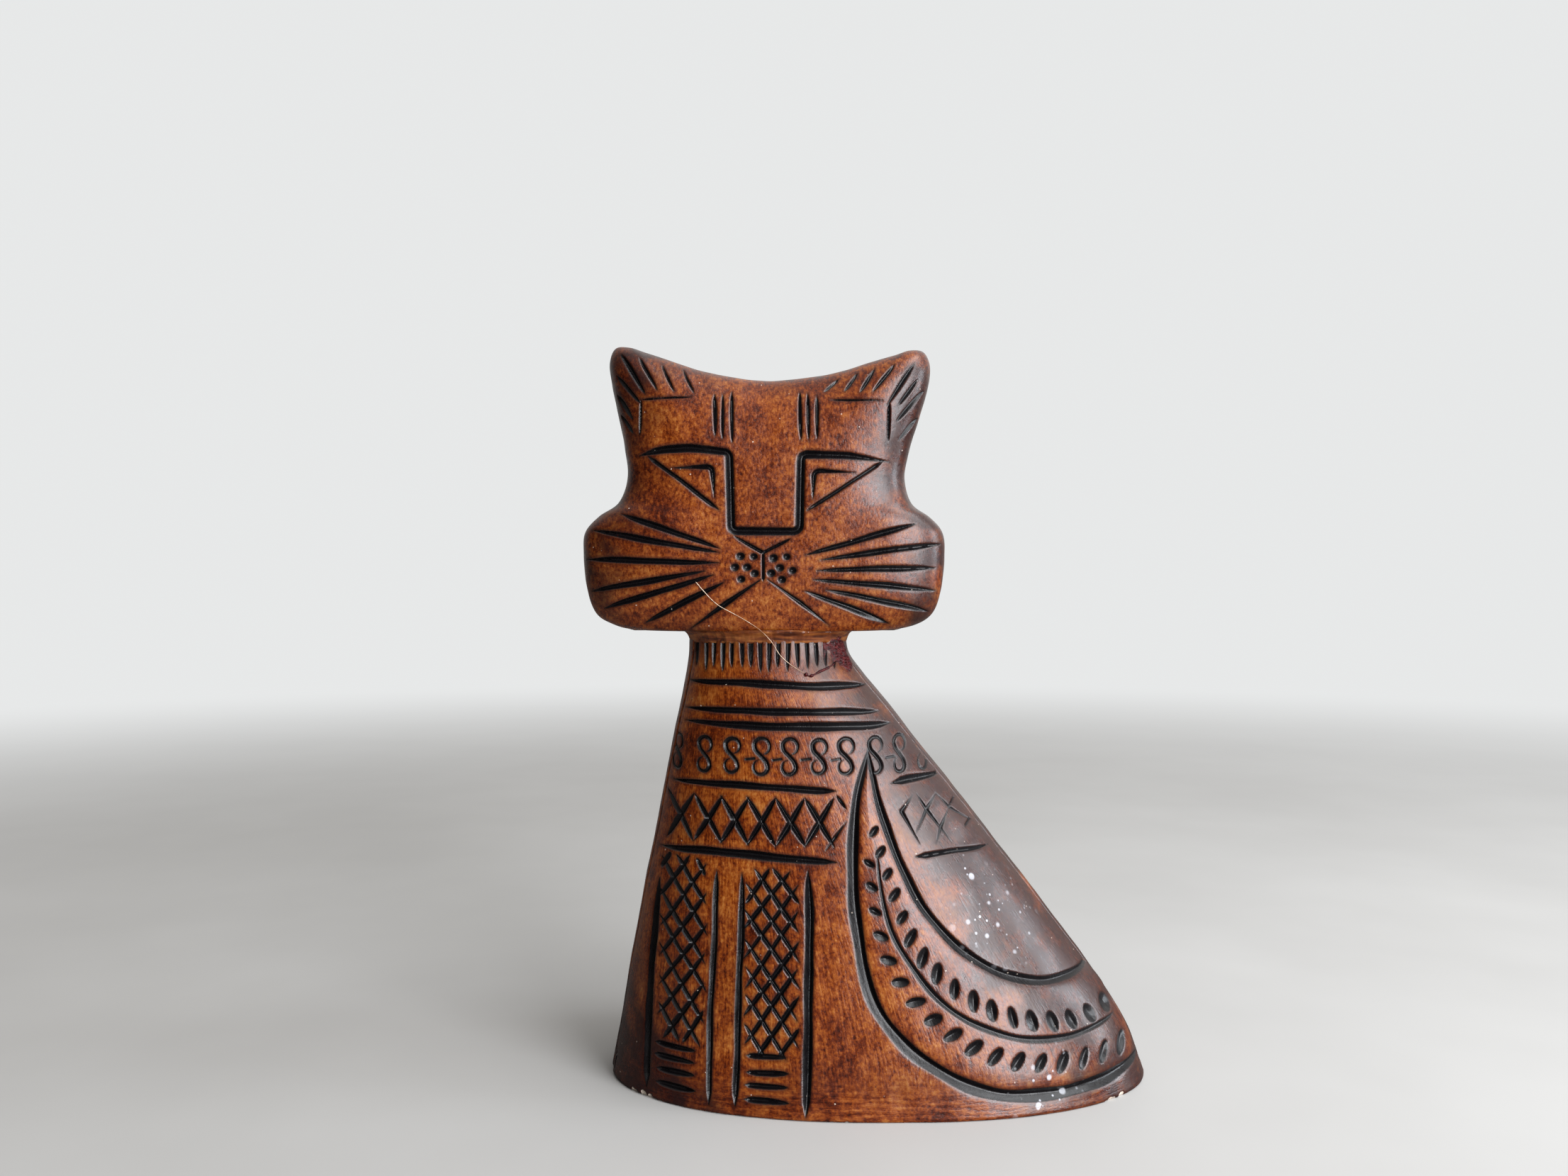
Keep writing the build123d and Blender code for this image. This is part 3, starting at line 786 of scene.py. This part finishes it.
def body_half(name, rows, columns, front):
    """One half of the body; only the front has cuts, the tail's relief and a chipped foot."""
    seam_y = BODY_SEAM_LOW[1] if front else BODY_SEAM_HIGH[1]
    side = -1 if front else 1
    outer, turn = body_grid(rows, columns, 0, seam_y, front)
    inner, _ = body_grid(rows // INNER_STEP, columns // INNER_STEP, WALL, seam_y, front)
    normal = outward_normals(outer, BODY_CENTRE)
    x, height = outer[..., 0] - NECK_X, outer[..., 2]
    depth, inside = carve(x, height, body_cuts() if front else [])
    stain_and_shade = stain_and_shade_at(outer)
    gap = open_seam(outer, seam_y)
    from_seam = side * (outer[..., 1] - seam_y)
    drop = edge_drop(height, EDGE_ROUND) + SEAM_EDGE_DROP * edge_drop(from_seam, SEAM_EDGE)
    lift = hand_shape(outer) - depth - drop
    if front:
        chips = foot_chips(outer)
        lift += tail_relief(x, height) - CHIP_DEPTH * chips - GAP_DEPTH_FRONT * gap
        # The opened seam is painted dark: painted shade inside the crack
        stain_and_shade = np.maximum(stain_and_shade, gap)
    else:
        chips = np.zeros(x.shape)
        lift -= GAP_DEPTH_REAR * gap
    shaped = outer + normal * lift[..., None]
    shaped[:, [0, -1], 1] = seam_y
    limit = np.minimum if front else np.maximum
    shaped[..., 1] = limit(shaped[..., 1], seam_y)
    shaped[0, :, 2] = 0
    shaped[-1, :, 2] = NECK_TOP
    piece = shell_piece(name, shaped, inner)
    paint_shell(piece, inside, turn * 60, height, stain_and_shade, chips)
    return piece


def head_half(name, rings, seam_y, front, cuts):
    """One half of the head: pillow, cuts, a rounded seam edge and a hollow behind."""
    fit = 1 - WALL / HEAD_CENTRE_HEIGHT
    outer = head_grid(rings, 1, HEAD_HALF_DEPTH, 0, seam_y, front)
    inner = head_grid(rings // INNER_STEP, fit, HEAD_HALF_DEPTH - WALL, WALL, seam_y, front)
    normal = outward_normals(outer, np.array([HEAD_X, 0, HEAD_LOW[2] + HEAD_CENTRE_HEIGHT]))
    x, height = outer[..., 0], outer[..., 2]
    depth, inside = carve(x - HEAD_X, height, cuts)
    side = -1 if front else 1
    drop = SEAM_EDGE_DROP * edge_drop(side * (outer[..., 1] - seam_y), SEAM_EDGE)
    under = smoothstep(2.5, 0.5, height - HEAD_LOW[2])
    lift = (hand_shape(outer) - depth) * (1 - under) - drop
    shaped = outer + normal * lift[..., None]
    for edge in (np.s_[0, :], np.s_[-1, :], np.s_[:, 0], np.s_[:, -1]):
        shaped[edge][..., 1] = seam_y
    limit = np.minimum if front else np.maximum
    shaped[..., 1] = limit(shaped[..., 1], seam_y)
    piece = shell_piece(name, shaped, inner)
    paint_shell(piece, inside, x * 0.7, height * 4, stain_and_shade_at(outer), x * 0)
    return piece


def slip_profile(low, high):
    """Loop through a seam's slip: depth in the row frame, and how far in from the surface."""
    front_y, rear_y = low[1], high[1]
    return [(front_y, 0.5), ((front_y + rear_y) / 2, 0.25), (rear_y, 0.5), (rear_y, WALL), (front_y, WALL)]


def body_seam():
    """Strips of slip up both sides, sunk a little between the two halves."""
    rows = 220
    height = np.linspace(0, NECK_TOP, rows)
    sunk = 0.9 * smoothstep(24, 14, height)[:, None]
    points, faces = [], []
    for outward_x in (1, -1):
        loop = []
        for y, inset in slip_profile(BODY_SEAM_LOW, BODY_SEAM_HIGH):
            turn = seam_turn(height, y, inset, True)
            x, _ = body_oval(height, turn if outward_x > 0 else math.pi - turn, inset, True)
            loop.append(np.stack([x, np.full(rows, y), height], -1))
        strip = np.stack(loop, axis=1)
        wave = 0.12 * ripple(strip[:, :3], 3.0, SEED + 12)
        strip[:, :3, 0] += outward_x * (wave - sunk)
        faces += swept_faces(*strip.shape[:2], False, start=len(points) * strip[..., 0].size)
        points.append(strip.reshape(-1, 3))
    return make_piece("body_seam_slip", np.concatenate(points), faces)


def head_seam():
    """A loop of slip between the head's two halves."""
    outline = head_outline(1200)
    centre = np.array([0.0, HEAD_CENTRE_HEIGHT])
    loop = []
    for y, inset in slip_profile(HEAD_SEAM_LOW, HEAD_SEAM_HIGH):
        flat = centre + (outline - centre) * (1 - inset / HEAD_CENTRE_HEIGHT)
        floor = 0.15 if inset < WALL else WALL
        tall = np.maximum(flat[:, 1], floor)
        loop.append(np.stack([flat[:, 0] + HEAD_X, np.full(len(flat), y), tall + HEAD_LOW[2]], -1))
    sections = np.stack(loop, axis=1)
    sections[:, :3, 0] += 0.08 * ripple(sections[:, :3], 3.0, SEED + 13)
    return swept_piece("head_seam_slip", sections, True)


def neck_ring(offset, height, turns, lump):
    """Loop round the neck, set out from its surface by an offset plus lumps."""
    tall = np.full(turns.shape, min(height, NECK_TOP))
    x, y = body_oval(tall, turns, 0, True)
    away = np.stack([np.cos(turns), -np.sin(turns) * NECK_FLATNESS], -1)
    away /= np.linalg.norm(away, axis=-1, keepdims=True)
    spread = np.c_[away * (offset + lump)[:, None], np.zeros(len(turns))]
    return np.stack([x, y, np.full(turns.shape, height)], -1) + spread


# How far the bead, with its lumps, stands out from the neck
BEAD_STANDS_OUT = 2.7


def neck_glue():
    """A bead of glue in the corner between neck and chin, wider where it ran."""
    turns = np.linspace(0, 2 * math.pi, 480, endpoint=False)
    base = neck_ring(0, NECK_TOP, turns, np.zeros(len(turns)))
    lump = 0.22 * ripple(base, 5, SEED + 20) + 0.1 * ripple(base, 1.6, SEED + 21)
    profile = [(-1.5, -3.6), (-0.25, -3.4), (0.2, -2.4), (0.55, -1.5), (1.0, -0.7), (1.6, 0.0),
               (2.3, 0.5), (2.5, 1.6), (-1.5, 1.6)]
    loops = []
    for offset, rise in profile:
        lumpy = 0 < offset < 2.4
        loops.append(neck_ring(offset, NECK_TOP + rise, turns, lump * lumpy))
    return swept_piece("neck_glue_bead", np.stack(loops, axis=1), True)


def on_front(x, height):
    """Point on the front of the body or head at an x and a height."""
    if height < HEAD_LOW[2]:
        turns = np.linspace(0.05, math.pi - 0.05, 721)
        ring_x, ring_y = body_oval(np.full(turns.shape, height), turns, 0, True)
        return np.array([x, np.interp(x, ring_x[::-1], ring_y[::-1]), height])
    outline = head_outline(800)
    centre = np.array([0.0, HEAD_CENTRE_HEIGHT])
    spot = np.array([x - HEAD_X, height - HEAD_LOW[2]]) - centre
    angle = np.arctan2(*(outline - centre).T[::-1])
    order = np.argsort(angle)
    edge = np.hypot(*(outline - centre).T)[order]
    reach = np.interp(math.atan2(spot[1], spot[0]), angle[order], edge, period=2 * math.pi)
    ring = min(np.hypot(*spot) / reach, 0.999)
    rise = HEAD_HALF_DEPTH * (1 - ring ** HEAD_ROUNDNESS) ** (1 / HEAD_ROUNDNESS)
    return np.array([x, -rise, height])


def thread(name, points, radius, twist):
    """A fine run of dried glue lying over the surface and over the bead under the chin."""
    line = np.array([on_front(x + NECK_X, h) for x, h in through(points, 0.5)])
    bead_front = on_front(NECK_X, NECK_TOP)[1] - BEAD_STANDS_OUT
    over_bead = np.abs(line[:, 2] - NECK_TOP) < 3.5
    line[over_bead, 1] = np.minimum(line[over_bead, 1], bead_front)
    slack = np.convolve(np.pad(line[:, 1], 4, mode="edge"), np.ones(9) / 9, "valid")
    line[:, 1] = np.minimum(line[:, 1], slack) - (radius + 0.15)
    along = np.gradient(line, axis=0)
    along /= np.linalg.norm(along, axis=1, keepdims=True)
    side = np.cross(along, (0, 1, 0))
    side /= np.linalg.norm(side, axis=1, keepdims=True)
    lift = np.cross(side, along)
    turns = np.linspace(0, 2 * math.pi, 8, endpoint=False)[None, :, None]
    size = radius * (1 + twist * ripple(line, 1.5, SEED + 30))
    size[[0, -1]] *= 0.3
    ring = np.cos(turns) * side[:, None] + np.sin(turns) * lift[:, None]
    return swept_piece(name, line[:, None] + ring * size[:, None, None], False)


def glue_crust():
    """Granular dark glue that ran down the neck's right side from the joint."""
    rows, columns = 80, 64
    height = np.linspace(154.5, NECK_TOP + 0.8, rows + 1)[:, None] + np.zeros(columns + 1)
    turn = np.linspace(0.16, 0.88, columns + 1)[None, :] + np.zeros((rows + 1, 1))
    x, y = body_oval(np.minimum(height, NECK_TOP), turn, 0, True)
    grid = np.stack([x, y, height], -1)
    normal = outward_normals(grid, BODY_CENTRE)
    s = np.linspace(-1, 1, columns + 1)[None, :]
    t = np.linspace(-1, 1, rows + 1)[:, None]
    middle = 0.15 * np.sin(3 * t) - 0.25 * t
    spread = 0.75 - 0.45 * np.abs(t) ** 1.5 + 0.12 * ripple(grid, 4, SEED + 41)
    cover = 1 - ((s - middle) / spread) ** 2 - 0.4 * np.abs(t) ** 6
    grains = 0.5 + 0.5 * np.abs(ripple(grid, 1.3, SEED + 42)) + 0.3 * np.abs(ripple(grid, 0.7, SEED + 43))
    lift = np.clip(cover, -1, 1) * grains * 0.75 - 0.25
    top = grid + normal * np.maximum(lift, -0.6)[..., None]
    back = grid[::4, ::4] - normal[::4, ::4] * 1.2
    return shell_piece("neck_glue_crust", top, back)


# ---------------------------------------------------------------- materials

class Nodes:
    """Short helper for wiring one node tree."""

    def __init__(self, tree):
        self.tree = tree

    def add(self, kind, inputs=(), **settings):
        """A new node with its settings, and with numbers or other nodes' outputs as inputs."""
        node = self.tree.nodes.new(kind)
        for key, value in settings.items():
            setattr(node, key, value)
        for key, value in dict(inputs).items():
            self.link(value, node.inputs[key])
        return node

    def link(self, value, socket):
        if hasattr(value, "is_output"):
            self.tree.links.new(value, socket)
        else:
            socket.default_value = value

    def math(self, operation, a, b=0.0, clamp=False):
        return self.add("ShaderNodeMath", {0: a, 1: b}, operation=operation, use_clamp=clamp).outputs[0]

    def step(self, value, low, high, to_low=0.0, to_high=1.0, shape="SMOOTHSTEP"):
        """Change from one number to another as a value crosses a span."""
        limits = {"Value": value, "From Min": low, "From Max": high, "To Min": to_low, "To Max": to_high}
        return self.add("ShaderNodeMapRange", limits, interpolation_type=shape).outputs["Result"]


class Paint(Nodes):
    """Wiring for one material, by place on the figure in metres."""

    def __init__(self, name):
        self.material = bpy.data.materials.new(name)
        self.material.use_nodes = True
        super().__init__(self.material.node_tree)
        self.surface = self.tree.nodes["Principled BSDF"]
        self.place = self.add("ShaderNodeTexCoord").outputs["Object"]

    def attribute(self, name):
        return self.add("ShaderNodeAttribute", attribute_name=name).outputs["Fac"]

    def stretch(self, vector, scale):
        return self.add("ShaderNodeMapping", {"Vector": vector, "Scale": scale}).outputs["Vector"]

    def noise(self, vector, scale, detail=3.0, roughness=0.55):
        look = {"Vector": vector, "Scale": scale, "Detail": detail, "Roughness": roughness}
        return self.add("ShaderNodeTexNoise", look).outputs["Fac"]

    def swing(self, noise, amount):
        """A noise's departure from its middle, scaled."""
        return self.math("MULTIPLY", self.math("SUBTRACT", noise, 0.5), amount)

    def dots(self, vector, scale, radius, share):
        """Round dots, one in each of a share of random cells."""
        cells = self.add("ShaderNodeTexVoronoi", {"Vector": vector, "Scale": scale})
        pick = self.add("ShaderNodeSeparateColor", {"Color": cells.outputs["Color"]})
        chosen = self.math("LESS_THAN", pick.outputs["Red"], share)
        edge = self.math("MULTIPLY", pick.outputs["Green"], 0.5 * radius)
        near = self.step(self.math("ADD", cells.outputs["Distance"], edge), radius, radius * 0.6)
        return self.math("MULTIPLY", near, chosen)

    def ramp(self, value, stops):
        node = self.add("ShaderNodeValToRGB", {"Fac": value})
        elements = node.color_ramp.elements
        while len(elements) < len(stops):
            elements.new(0.5)
        for element, (position, *colour) in zip(elements, stops):
            element.position = position
            element.color = (*colour, 1)
        return node.outputs["Color"]

    def mix(self, share, a, b, strength=1.0):
        """Lay colour b over colour a, by a share times a strength."""
        node = self.add("ShaderNodeMix", data_type="RGBA")
        self.link(share if strength == 1 else self.math("MULTIPLY", share, strength), node.inputs["Factor"])
        colours = [socket for socket in node.inputs if socket.type == "RGBA"]
        for value, socket in zip((a, b), colours):
            self.link((*value, 1) if isinstance(value, tuple) else value, socket)
        return [socket for socket in node.outputs if socket.type == "RGBA"][0]

    def bump(self, height, strength, distance, normal=None):
        inputs = {"Strength": strength, "Distance": distance, "Height": height}
        if normal is not None:
            inputs["Normal"] = normal
        return self.add("ShaderNodeBump", inputs).outputs["Normal"]

    def finish(self, colour, roughness, normal, coat=0.0, coat_roughness=0.1):
        for key, value in {
            "Base Color": colour, "Roughness": roughness, "Normal": normal,
            "Coat Weight": coat, "Coat Roughness": coat_roughness,
        }.items():
            self.link(value, self.surface.inputs[key])
        return self.material


# Centres the sum of the noises on the ramp of browns
TONE_SHIFT = -1.075


def stained_clay():
    """Brown wood-like stain brushed over clay with painted shade in it, black glaze in the cuts, pinholes
    with painted glints, chips.
    """
    n = Paint("stained_clay")
    across, along = n.attribute("across"), n.attribute("along")
    near_foot = n.step(along, 18.0, 4.0)

    def streaks(per_mm, slack):
        flow = n.add("ShaderNodeCombineXYZ", {"X": across, "Y": n.math("MULTIPLY", along, slack)})
        return n.noise(flow.outputs["Vector"], per_mm, 3.0, 0.6)

    # Brush marks run up the figure, and level round its foot
    brushed = n.mix(near_foot, streaks(1.5, 0.09), n.noise(n.stretch(n.place, (80, 80, 900)), 1.0))
    grain = n.mix(near_foot, streaks(1.9, 0.5), n.noise(n.stretch(n.place, (900, 900, 2200)), 1.0))
    mottle = n.noise(n.place, 150, 5.0, 0.65)
    cloud = n.noise(n.place, 34)
    fleck = n.noise(n.place, 620, 3.0, 0.6)
    tone = TONE_SHIFT
    for layer, weight in ((grain, 0.50), (brushed, 0.70), (fleck, 0.65), (mottle, 0.70), (cloud, 0.60)):
        tone = n.math("ADD", n.math("MULTIPLY", layer, weight), tone)
    colour = n.ramp(tone, [
        (0.22, 0.032, 0.0035, 0.0005), (0.38, 0.098, 0.0130, 0.0010), (0.50, 0.185, 0.0330, 0.0022),
        (0.62, 0.280, 0.0660, 0.0060), (0.80, 0.400, 0.1400, 0.0250),
    ])
    # Stain and painted shade pool dark in patches, and stain darkens beside the cuts
    pools = n.step(mottle, 0.30, 0.62, 0.65, 1.15)
    stain_and_shade = n.math("MULTIPLY", n.attribute("stain_and_shade"), pools, clamp=True)
    # This dark brown is real stain and painted shade together
    colour = n.mix(stain_and_shade, colour, (0.014, 0.0030, 0.0034), 0.92)
    cut = n.math("ADD", n.attribute("cut"), n.swing(fleck, 0.6))
    colour = n.mix(n.step(cut, -1.3, 0.0, 0.0, 0.60), colour, (0.028, 0.0050, 0.0020))
    glaze = n.step(cut, -0.16, 0.22)
    colour = n.mix(glaze, colour, (0.0040, 0.0032, 0.0040))
    # Pinholes, pale dots that are painted highlights on small bubbles, chips down to the clay, and splashes
    # on the tail side
    pinhole = n.dots(n.place, 210, 0.085, 0.45)
    colour = n.mix(pinhole, colour, (0.045, 0.006, 0.003), 0.85)
    # Painted highlight: pale glints on small bubbles
    colour = n.mix(n.dots(n.place, 300, 0.105, 0.22), colour, (0.72, 0.60, 0.50), 0.75)
    bare = n.step(n.math("ADD", n.attribute("chip"), n.swing(mottle, 0.5)), 0.35, 0.6)
    colour = n.mix(bare, colour, (0.62, 0.52, 0.43))
    splash = n.math("MAXIMUM", n.dots(n.place, 210, 0.36, 0.6), n.dots(n.place, 420, 0.30, 0.4))
    splash = n.math("MULTIPLY", splash, n.attribute("speck"), clamp=True)
    colour = n.mix(splash, colour, (0.60, 0.61, 0.66), 0.75)
    rough = n.math("ADD", n.step(mottle, 0.3, 0.7, 0.25, 0.36), n.swing(brushed, 0.35))
    rough = n.math("ADD", rough, n.math("MULTIPLY", bare, 0.45), clamp=True)
    normal = n.bump(brushed, 0.30, 0.0004)
    normal = n.bump(grain, 0.30, 0.00025, normal)
    normal = n.bump(mottle, 0.25, 0.0005, normal)
    normal = n.bump(pinhole, -0.7, 0.0004, normal)
    n.link(n.step(glaze, 0.0, 1.0, 0.50, 0.30), n.surface.inputs["Specular IOR Level"])
    return n.finish(colour, rough, normal, 0.14, 0.20)


def seam_slip():
    """Dark slip in the seams, rougher than the stained clay."""
    n = Paint("seam_slip")
    grain = n.noise(n.place, 260, 4.0)
    stops = [(0.3, 0.020, 0.006, 0.003), (0.55, 0.075, 0.024, 0.009), (0.8, 0.16, 0.06, 0.02)]
    return n.finish(n.ramp(grain, stops), n.step(grain, 0.2, 0.8, 0.4, 0.7), n.bump(grain, 0.5, 0.0004))


def red_glue():
    """Reddish-brown glue, smeared level, stained like the clay beside it."""
    n = Paint("red_glue")
    smear = n.noise(n.stretch(n.place, (110, 110, 900)), 1.0, 4.0)
    stops = [(0.3, 0.030, 0.004, 0.001), (0.5, 0.160, 0.036, 0.005), (0.72, 0.32, 0.110, 0.020)]
    return n.finish(n.ramp(smear, stops), 0.40, n.bump(smear, 0.3, 0.0005))


def crusted_glue():
    """Dark red granular glue."""
    n = Paint("crusted_glue")
    grain = n.noise(n.place, 900)
    stops = [(0.3, 0.005, 0.001, 0.001), (0.5, 0.050, 0.004, 0.005), (0.75, 0.15, 0.015, 0.014)]
    n.surface.inputs["Specular IOR Level"].default_value = 0.2
    return n.finish(n.ramp(grain, stops), 0.45, n.bump(grain, 0.5, 0.0004))


def clear_thread():
    """Pale dried glue pulled into a hair."""
    n = Paint("glue_hair")
    drift = n.noise(n.place, 120, 2.0)
    colour = n.ramp(drift, [(0.3, 0.30, 0.14, 0.07), (0.6, 0.75, 0.58, 0.42)])
    return n.finish(colour, 0.25, n.bump(drift, 0.2, 0.0002), 0.3)


def raw_clay():
    """Pale unglazed clay with fine grog and darker scrape marks."""
    n = Paint("raw_clay")
    grog = n.noise(n.place, 700, 4.0)
    scrape = n.noise(n.stretch(n.place, (40, 420, 40)), 1.0)
    colour = n.ramp(scrape, [(0.3, 0.40, 0.31, 0.22), (0.55, 0.56, 0.46, 0.35), (0.8, 0.66, 0.57, 0.46)])
    colour = n.mix(n.step(grog, 0.62, 0.7), colour, (0.25, 0.17, 0.11))
    return n.finish(colour, n.step(grog, 0.2, 0.8, 0.75, 0.92), n.bump(grog, 0.4, 0.0003))


def stopper_rubber():
    """Matt black rubber with moulding haze."""
    n = Paint("stopper_rubber")
    haze = n.noise(n.place, 90, 4.0)
    colour = n.ramp(haze, [(0.3, 0.012, 0.011, 0.010), (0.7, 0.035, 0.032, 0.030)])
    grain = n.noise(n.place, 1500, 2.0)
    return n.finish(colour, n.step(haze, 0.2, 0.8, 0.5, 0.75), n.bump(grain, 0.3, 0.0001))


# ---------------------------------------------------------------- assembly

def set_material(piece, material):
    piece.data.materials.clear()
    piece.data.materials.append(material)


def place_piece(piece, material, replaced=()):
    """Dress a piece, fix it to the figure and hide the CAD nodes it stands for."""
    set_material(piece, material)
    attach(piece, "figure")
    if replaced:
        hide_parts(*replaced)


def speck_mask(piece):
    """Mark the patches on the tail side where pale specks gather."""
    points = np.zeros(len(piece.data.vertices) * 3, np.float32)
    piece.data.vertices.foreach_get("co", points)
    points = points.reshape(-1, 3) / MM
    mask = np.zeros(len(points))
    for x, height, spread in SPECK_PATCHES:
        away = np.hypot(points[:, 0] - x, points[:, 2] - height)
        mask = np.maximum(mask, np.clip(1.2 - away / spread, 0, 1))
    paint(piece, "speck", mask * (points[:, 1] < 0))


clay = stained_clay()
glue = red_glue()
slip = seam_slip()
crust = crusted_glue()

front_shell = body_half("body_front", 520, 720, True)
speck_mask(front_shell)
place_piece(front_shell, clay, ["body_front_shell"])
rear_shell = body_half("body_rear", 200, 320, False)
place_piece(rear_shell, clay, ["body_rear_shell"])
front_head = head_half("head_front", 212, HEAD_SEAM_LOW[1], True, face_cuts())
place_piece(front_head, clay, ["head_front_shell"])
rear_head = head_half("head_rear", 112, HEAD_SEAM_HIGH[1], False, [])
place_piece(rear_head, clay, ["head_rear_shell"])
place_piece(body_seam(), slip, ["body_seam"])
place_piece(head_seam(), slip, ["head_seam"])
place_piece(neck_glue(), glue, ["neck_glue"])
place_piece(glue_crust(), crust)
hair_path = [
    (-26.6, 189.0), (-23.7, 185.6), (-18.8, 180.7), (-12.0, 176.8), (-6.2, 173.4),
    (-2.3, 170.6), (1.4, 166.8), (5.0, 161.2), (10.6, 156.6), (14.7, 154.1),
]
place_piece(thread("glue_hair", hair_path, 0.12, 0.2), clear_thread())
twist_path = [(14.0, 154.6), (15.7, 153.7), (19.9, 155.2), (24.6, 157.3), (26.8, 158.9)]
place_piece(thread("glue_twist", twist_path, 0.42, 0.5), crust)

raw = raw_clay()
set_material(frame["nodes"]["base_plate"], raw)
set_material(frame["nodes"]["base_slip_bead"], raw)
set_material(frame["nodes"]["base_stopper"], stopper_rubber())


# ---------------------------------------------------------------- stage, light and camera

BACKDROP = (0.80, 0.81, 0.81, 1)
# In metres: the floor's radius, and between which distances it fades into the backdrop
FLOOR_RADIUS = 5.0
FLOOR_FADE = (0.45, 1.9)
# Strength of the world's light where nothing brightens it
DARK_SKY = 0.005


def floor():
    """A wide pale floor, level with the underside of the foot."""
    sides = 96
    turns = np.linspace(0, 2 * math.pi, sides, endpoint=False)
    rim = FLOOR_RADIUS * np.c_[np.cos(turns), np.sin(turns), np.zeros(sides)]
    faces = [(0, k + 1, (k + 1) % sides + 1) for k in range(sides)]
    mesh = bpy.data.meshes.new("floor")
    mesh.from_pydata([(0, 0, 0), *rim.tolist()], [], faces)
    ground = bpy.data.objects.new("floor", mesh)
    bpy.context.scene.collection.objects.link(ground)
    n = Paint("pale_floor")
    drift = n.noise(n.place, 6)
    colour = n.ramp(drift, [(0.3, 0.47, 0.46, 0.445), (0.7, 0.51, 0.50, 0.485)])
    # In reflections the floor stands in for a shallow shelf with a dark room past its edge
    rays = n.add("ShaderNodeLightPath").outputs
    colour = n.mix(rays["Is Glossy Ray"], colour, (0.03, 0.02, 0.015), 0.85)
    material = n.finish(colour, 0.7, n.bump(drift, 0.05, 0.001))
    # Far off, the floor fades into the backdrop where the camera sees it
    away = n.add("ShaderNodeVectorMath", {0: n.place}, operation="LENGTH").outputs["Value"]
    seen = n.math("MULTIPLY", n.step(away, *FLOOR_FADE), rays["Is Camera Ray"])
    glow = n.add("ShaderNodeEmission", {"Color": BACKDROP}).outputs["Emission"]
    fade = n.add("ShaderNodeMixShader", {0: seen, 1: n.surface.outputs["BSDF"], 2: glow})
    n.link(fade.outputs["Shader"], n.tree.nodes["Material Output"].inputs["Surface"])
    set_material(ground, material)


def area_light(name, place, target, size, power, colour):
    data = bpy.data.lights.new(name, "AREA")
    data.shape = "RECTANGLE"
    data.size, data.size_y = size
    data.energy = power
    data.color = colour
    lamp = bpy.data.objects.new(name, data)
    lamp.location = place
    lamp.rotation_euler = (Vector(target) - Vector(place)).to_track_quat("-Z", "Y").to_euler()
    bpy.context.scene.collection.objects.link(lamp)


def world():
    """Pale to look at; as a light, brighter to the right, behind and above than to the left."""
    sky = bpy.data.worlds.new("studio")
    bpy.context.scene.world = sky
    sky.use_nodes = True
    sky.node_tree.nodes.clear()
    n = Nodes(sky.node_tree)
    direction = n.add("ShaderNodeTexCoord").outputs["Generated"]
    axes = n.add("ShaderNodeSeparateXYZ", {0: direction}).outputs

    def rise(axis, low, high, strength):
        return n.step(axes[axis], low, high, DARK_SKY, strength, "LINEAR")

    right_side = n.math("MULTIPLY", rise("Z", 0.02, 0.20, 0.50), rise("X", -0.15, 0.3, 1.0))
    total = n.math("ADD", right_side, rise("Y", 0.1, 0.8, 0.30))
    total = n.math("ADD", total, rise("Z", 0.3, 1.0, 0.45))
    lit = n.add("ShaderNodeBackground", {"Color": (1.0, 0.985, 0.96, 1), "Strength": total})
    seen = n.add("ShaderNodeBackground", {"Color": BACKDROP})
    camera_ray = n.add("ShaderNodeLightPath").outputs["Is Camera Ray"]
    choose = n.add("ShaderNodeMixShader", {0: camera_ray, 1: lit.outputs[0], 2: seen.outputs[0]})
    n.add("ShaderNodeOutputWorld", {"Surface": choose.outputs[0]})


def camera():
    """Level camera at the height of the chin, a little left of the figure's middle."""
    data = bpy.data.cameras.new("camera")
    data.lens = 27.03
    data.sensor_width = 36.0
    data.clip_start = 0.01
    eye = bpy.data.objects.new("camera", data)
    eye.location = (-0.03115, -0.4647, 0.1867)
    eye.rotation_euler = (math.radians(90), 0, 0)
    bpy.context.scene.collection.objects.link(eye)
    bpy.context.scene.camera = eye


floor()
for name, place, target, size, power, colour in [
    ("window_front", (0.81, -0.99, 0.45), (0, 0, 0.14), (0.75, 0.85), 22, (0.94, 0.96, 1.0)),
    ("window_side", (1.28, -0.10, 0.40), (0, 0, 0.12), (0.36, 0.60), 7.5, (0.86, 0.93, 1.0)),
    ("window_high", (0.66, -0.28, 1.12), (0, 0, 0.12), (0.70, 0.70), 9, (0.94, 0.97, 1.0)),
]:
    area_light(name, place, target, size, power, colour)
world()
camera()
bpy.context.scene.view_settings.view_transform = "Standard"
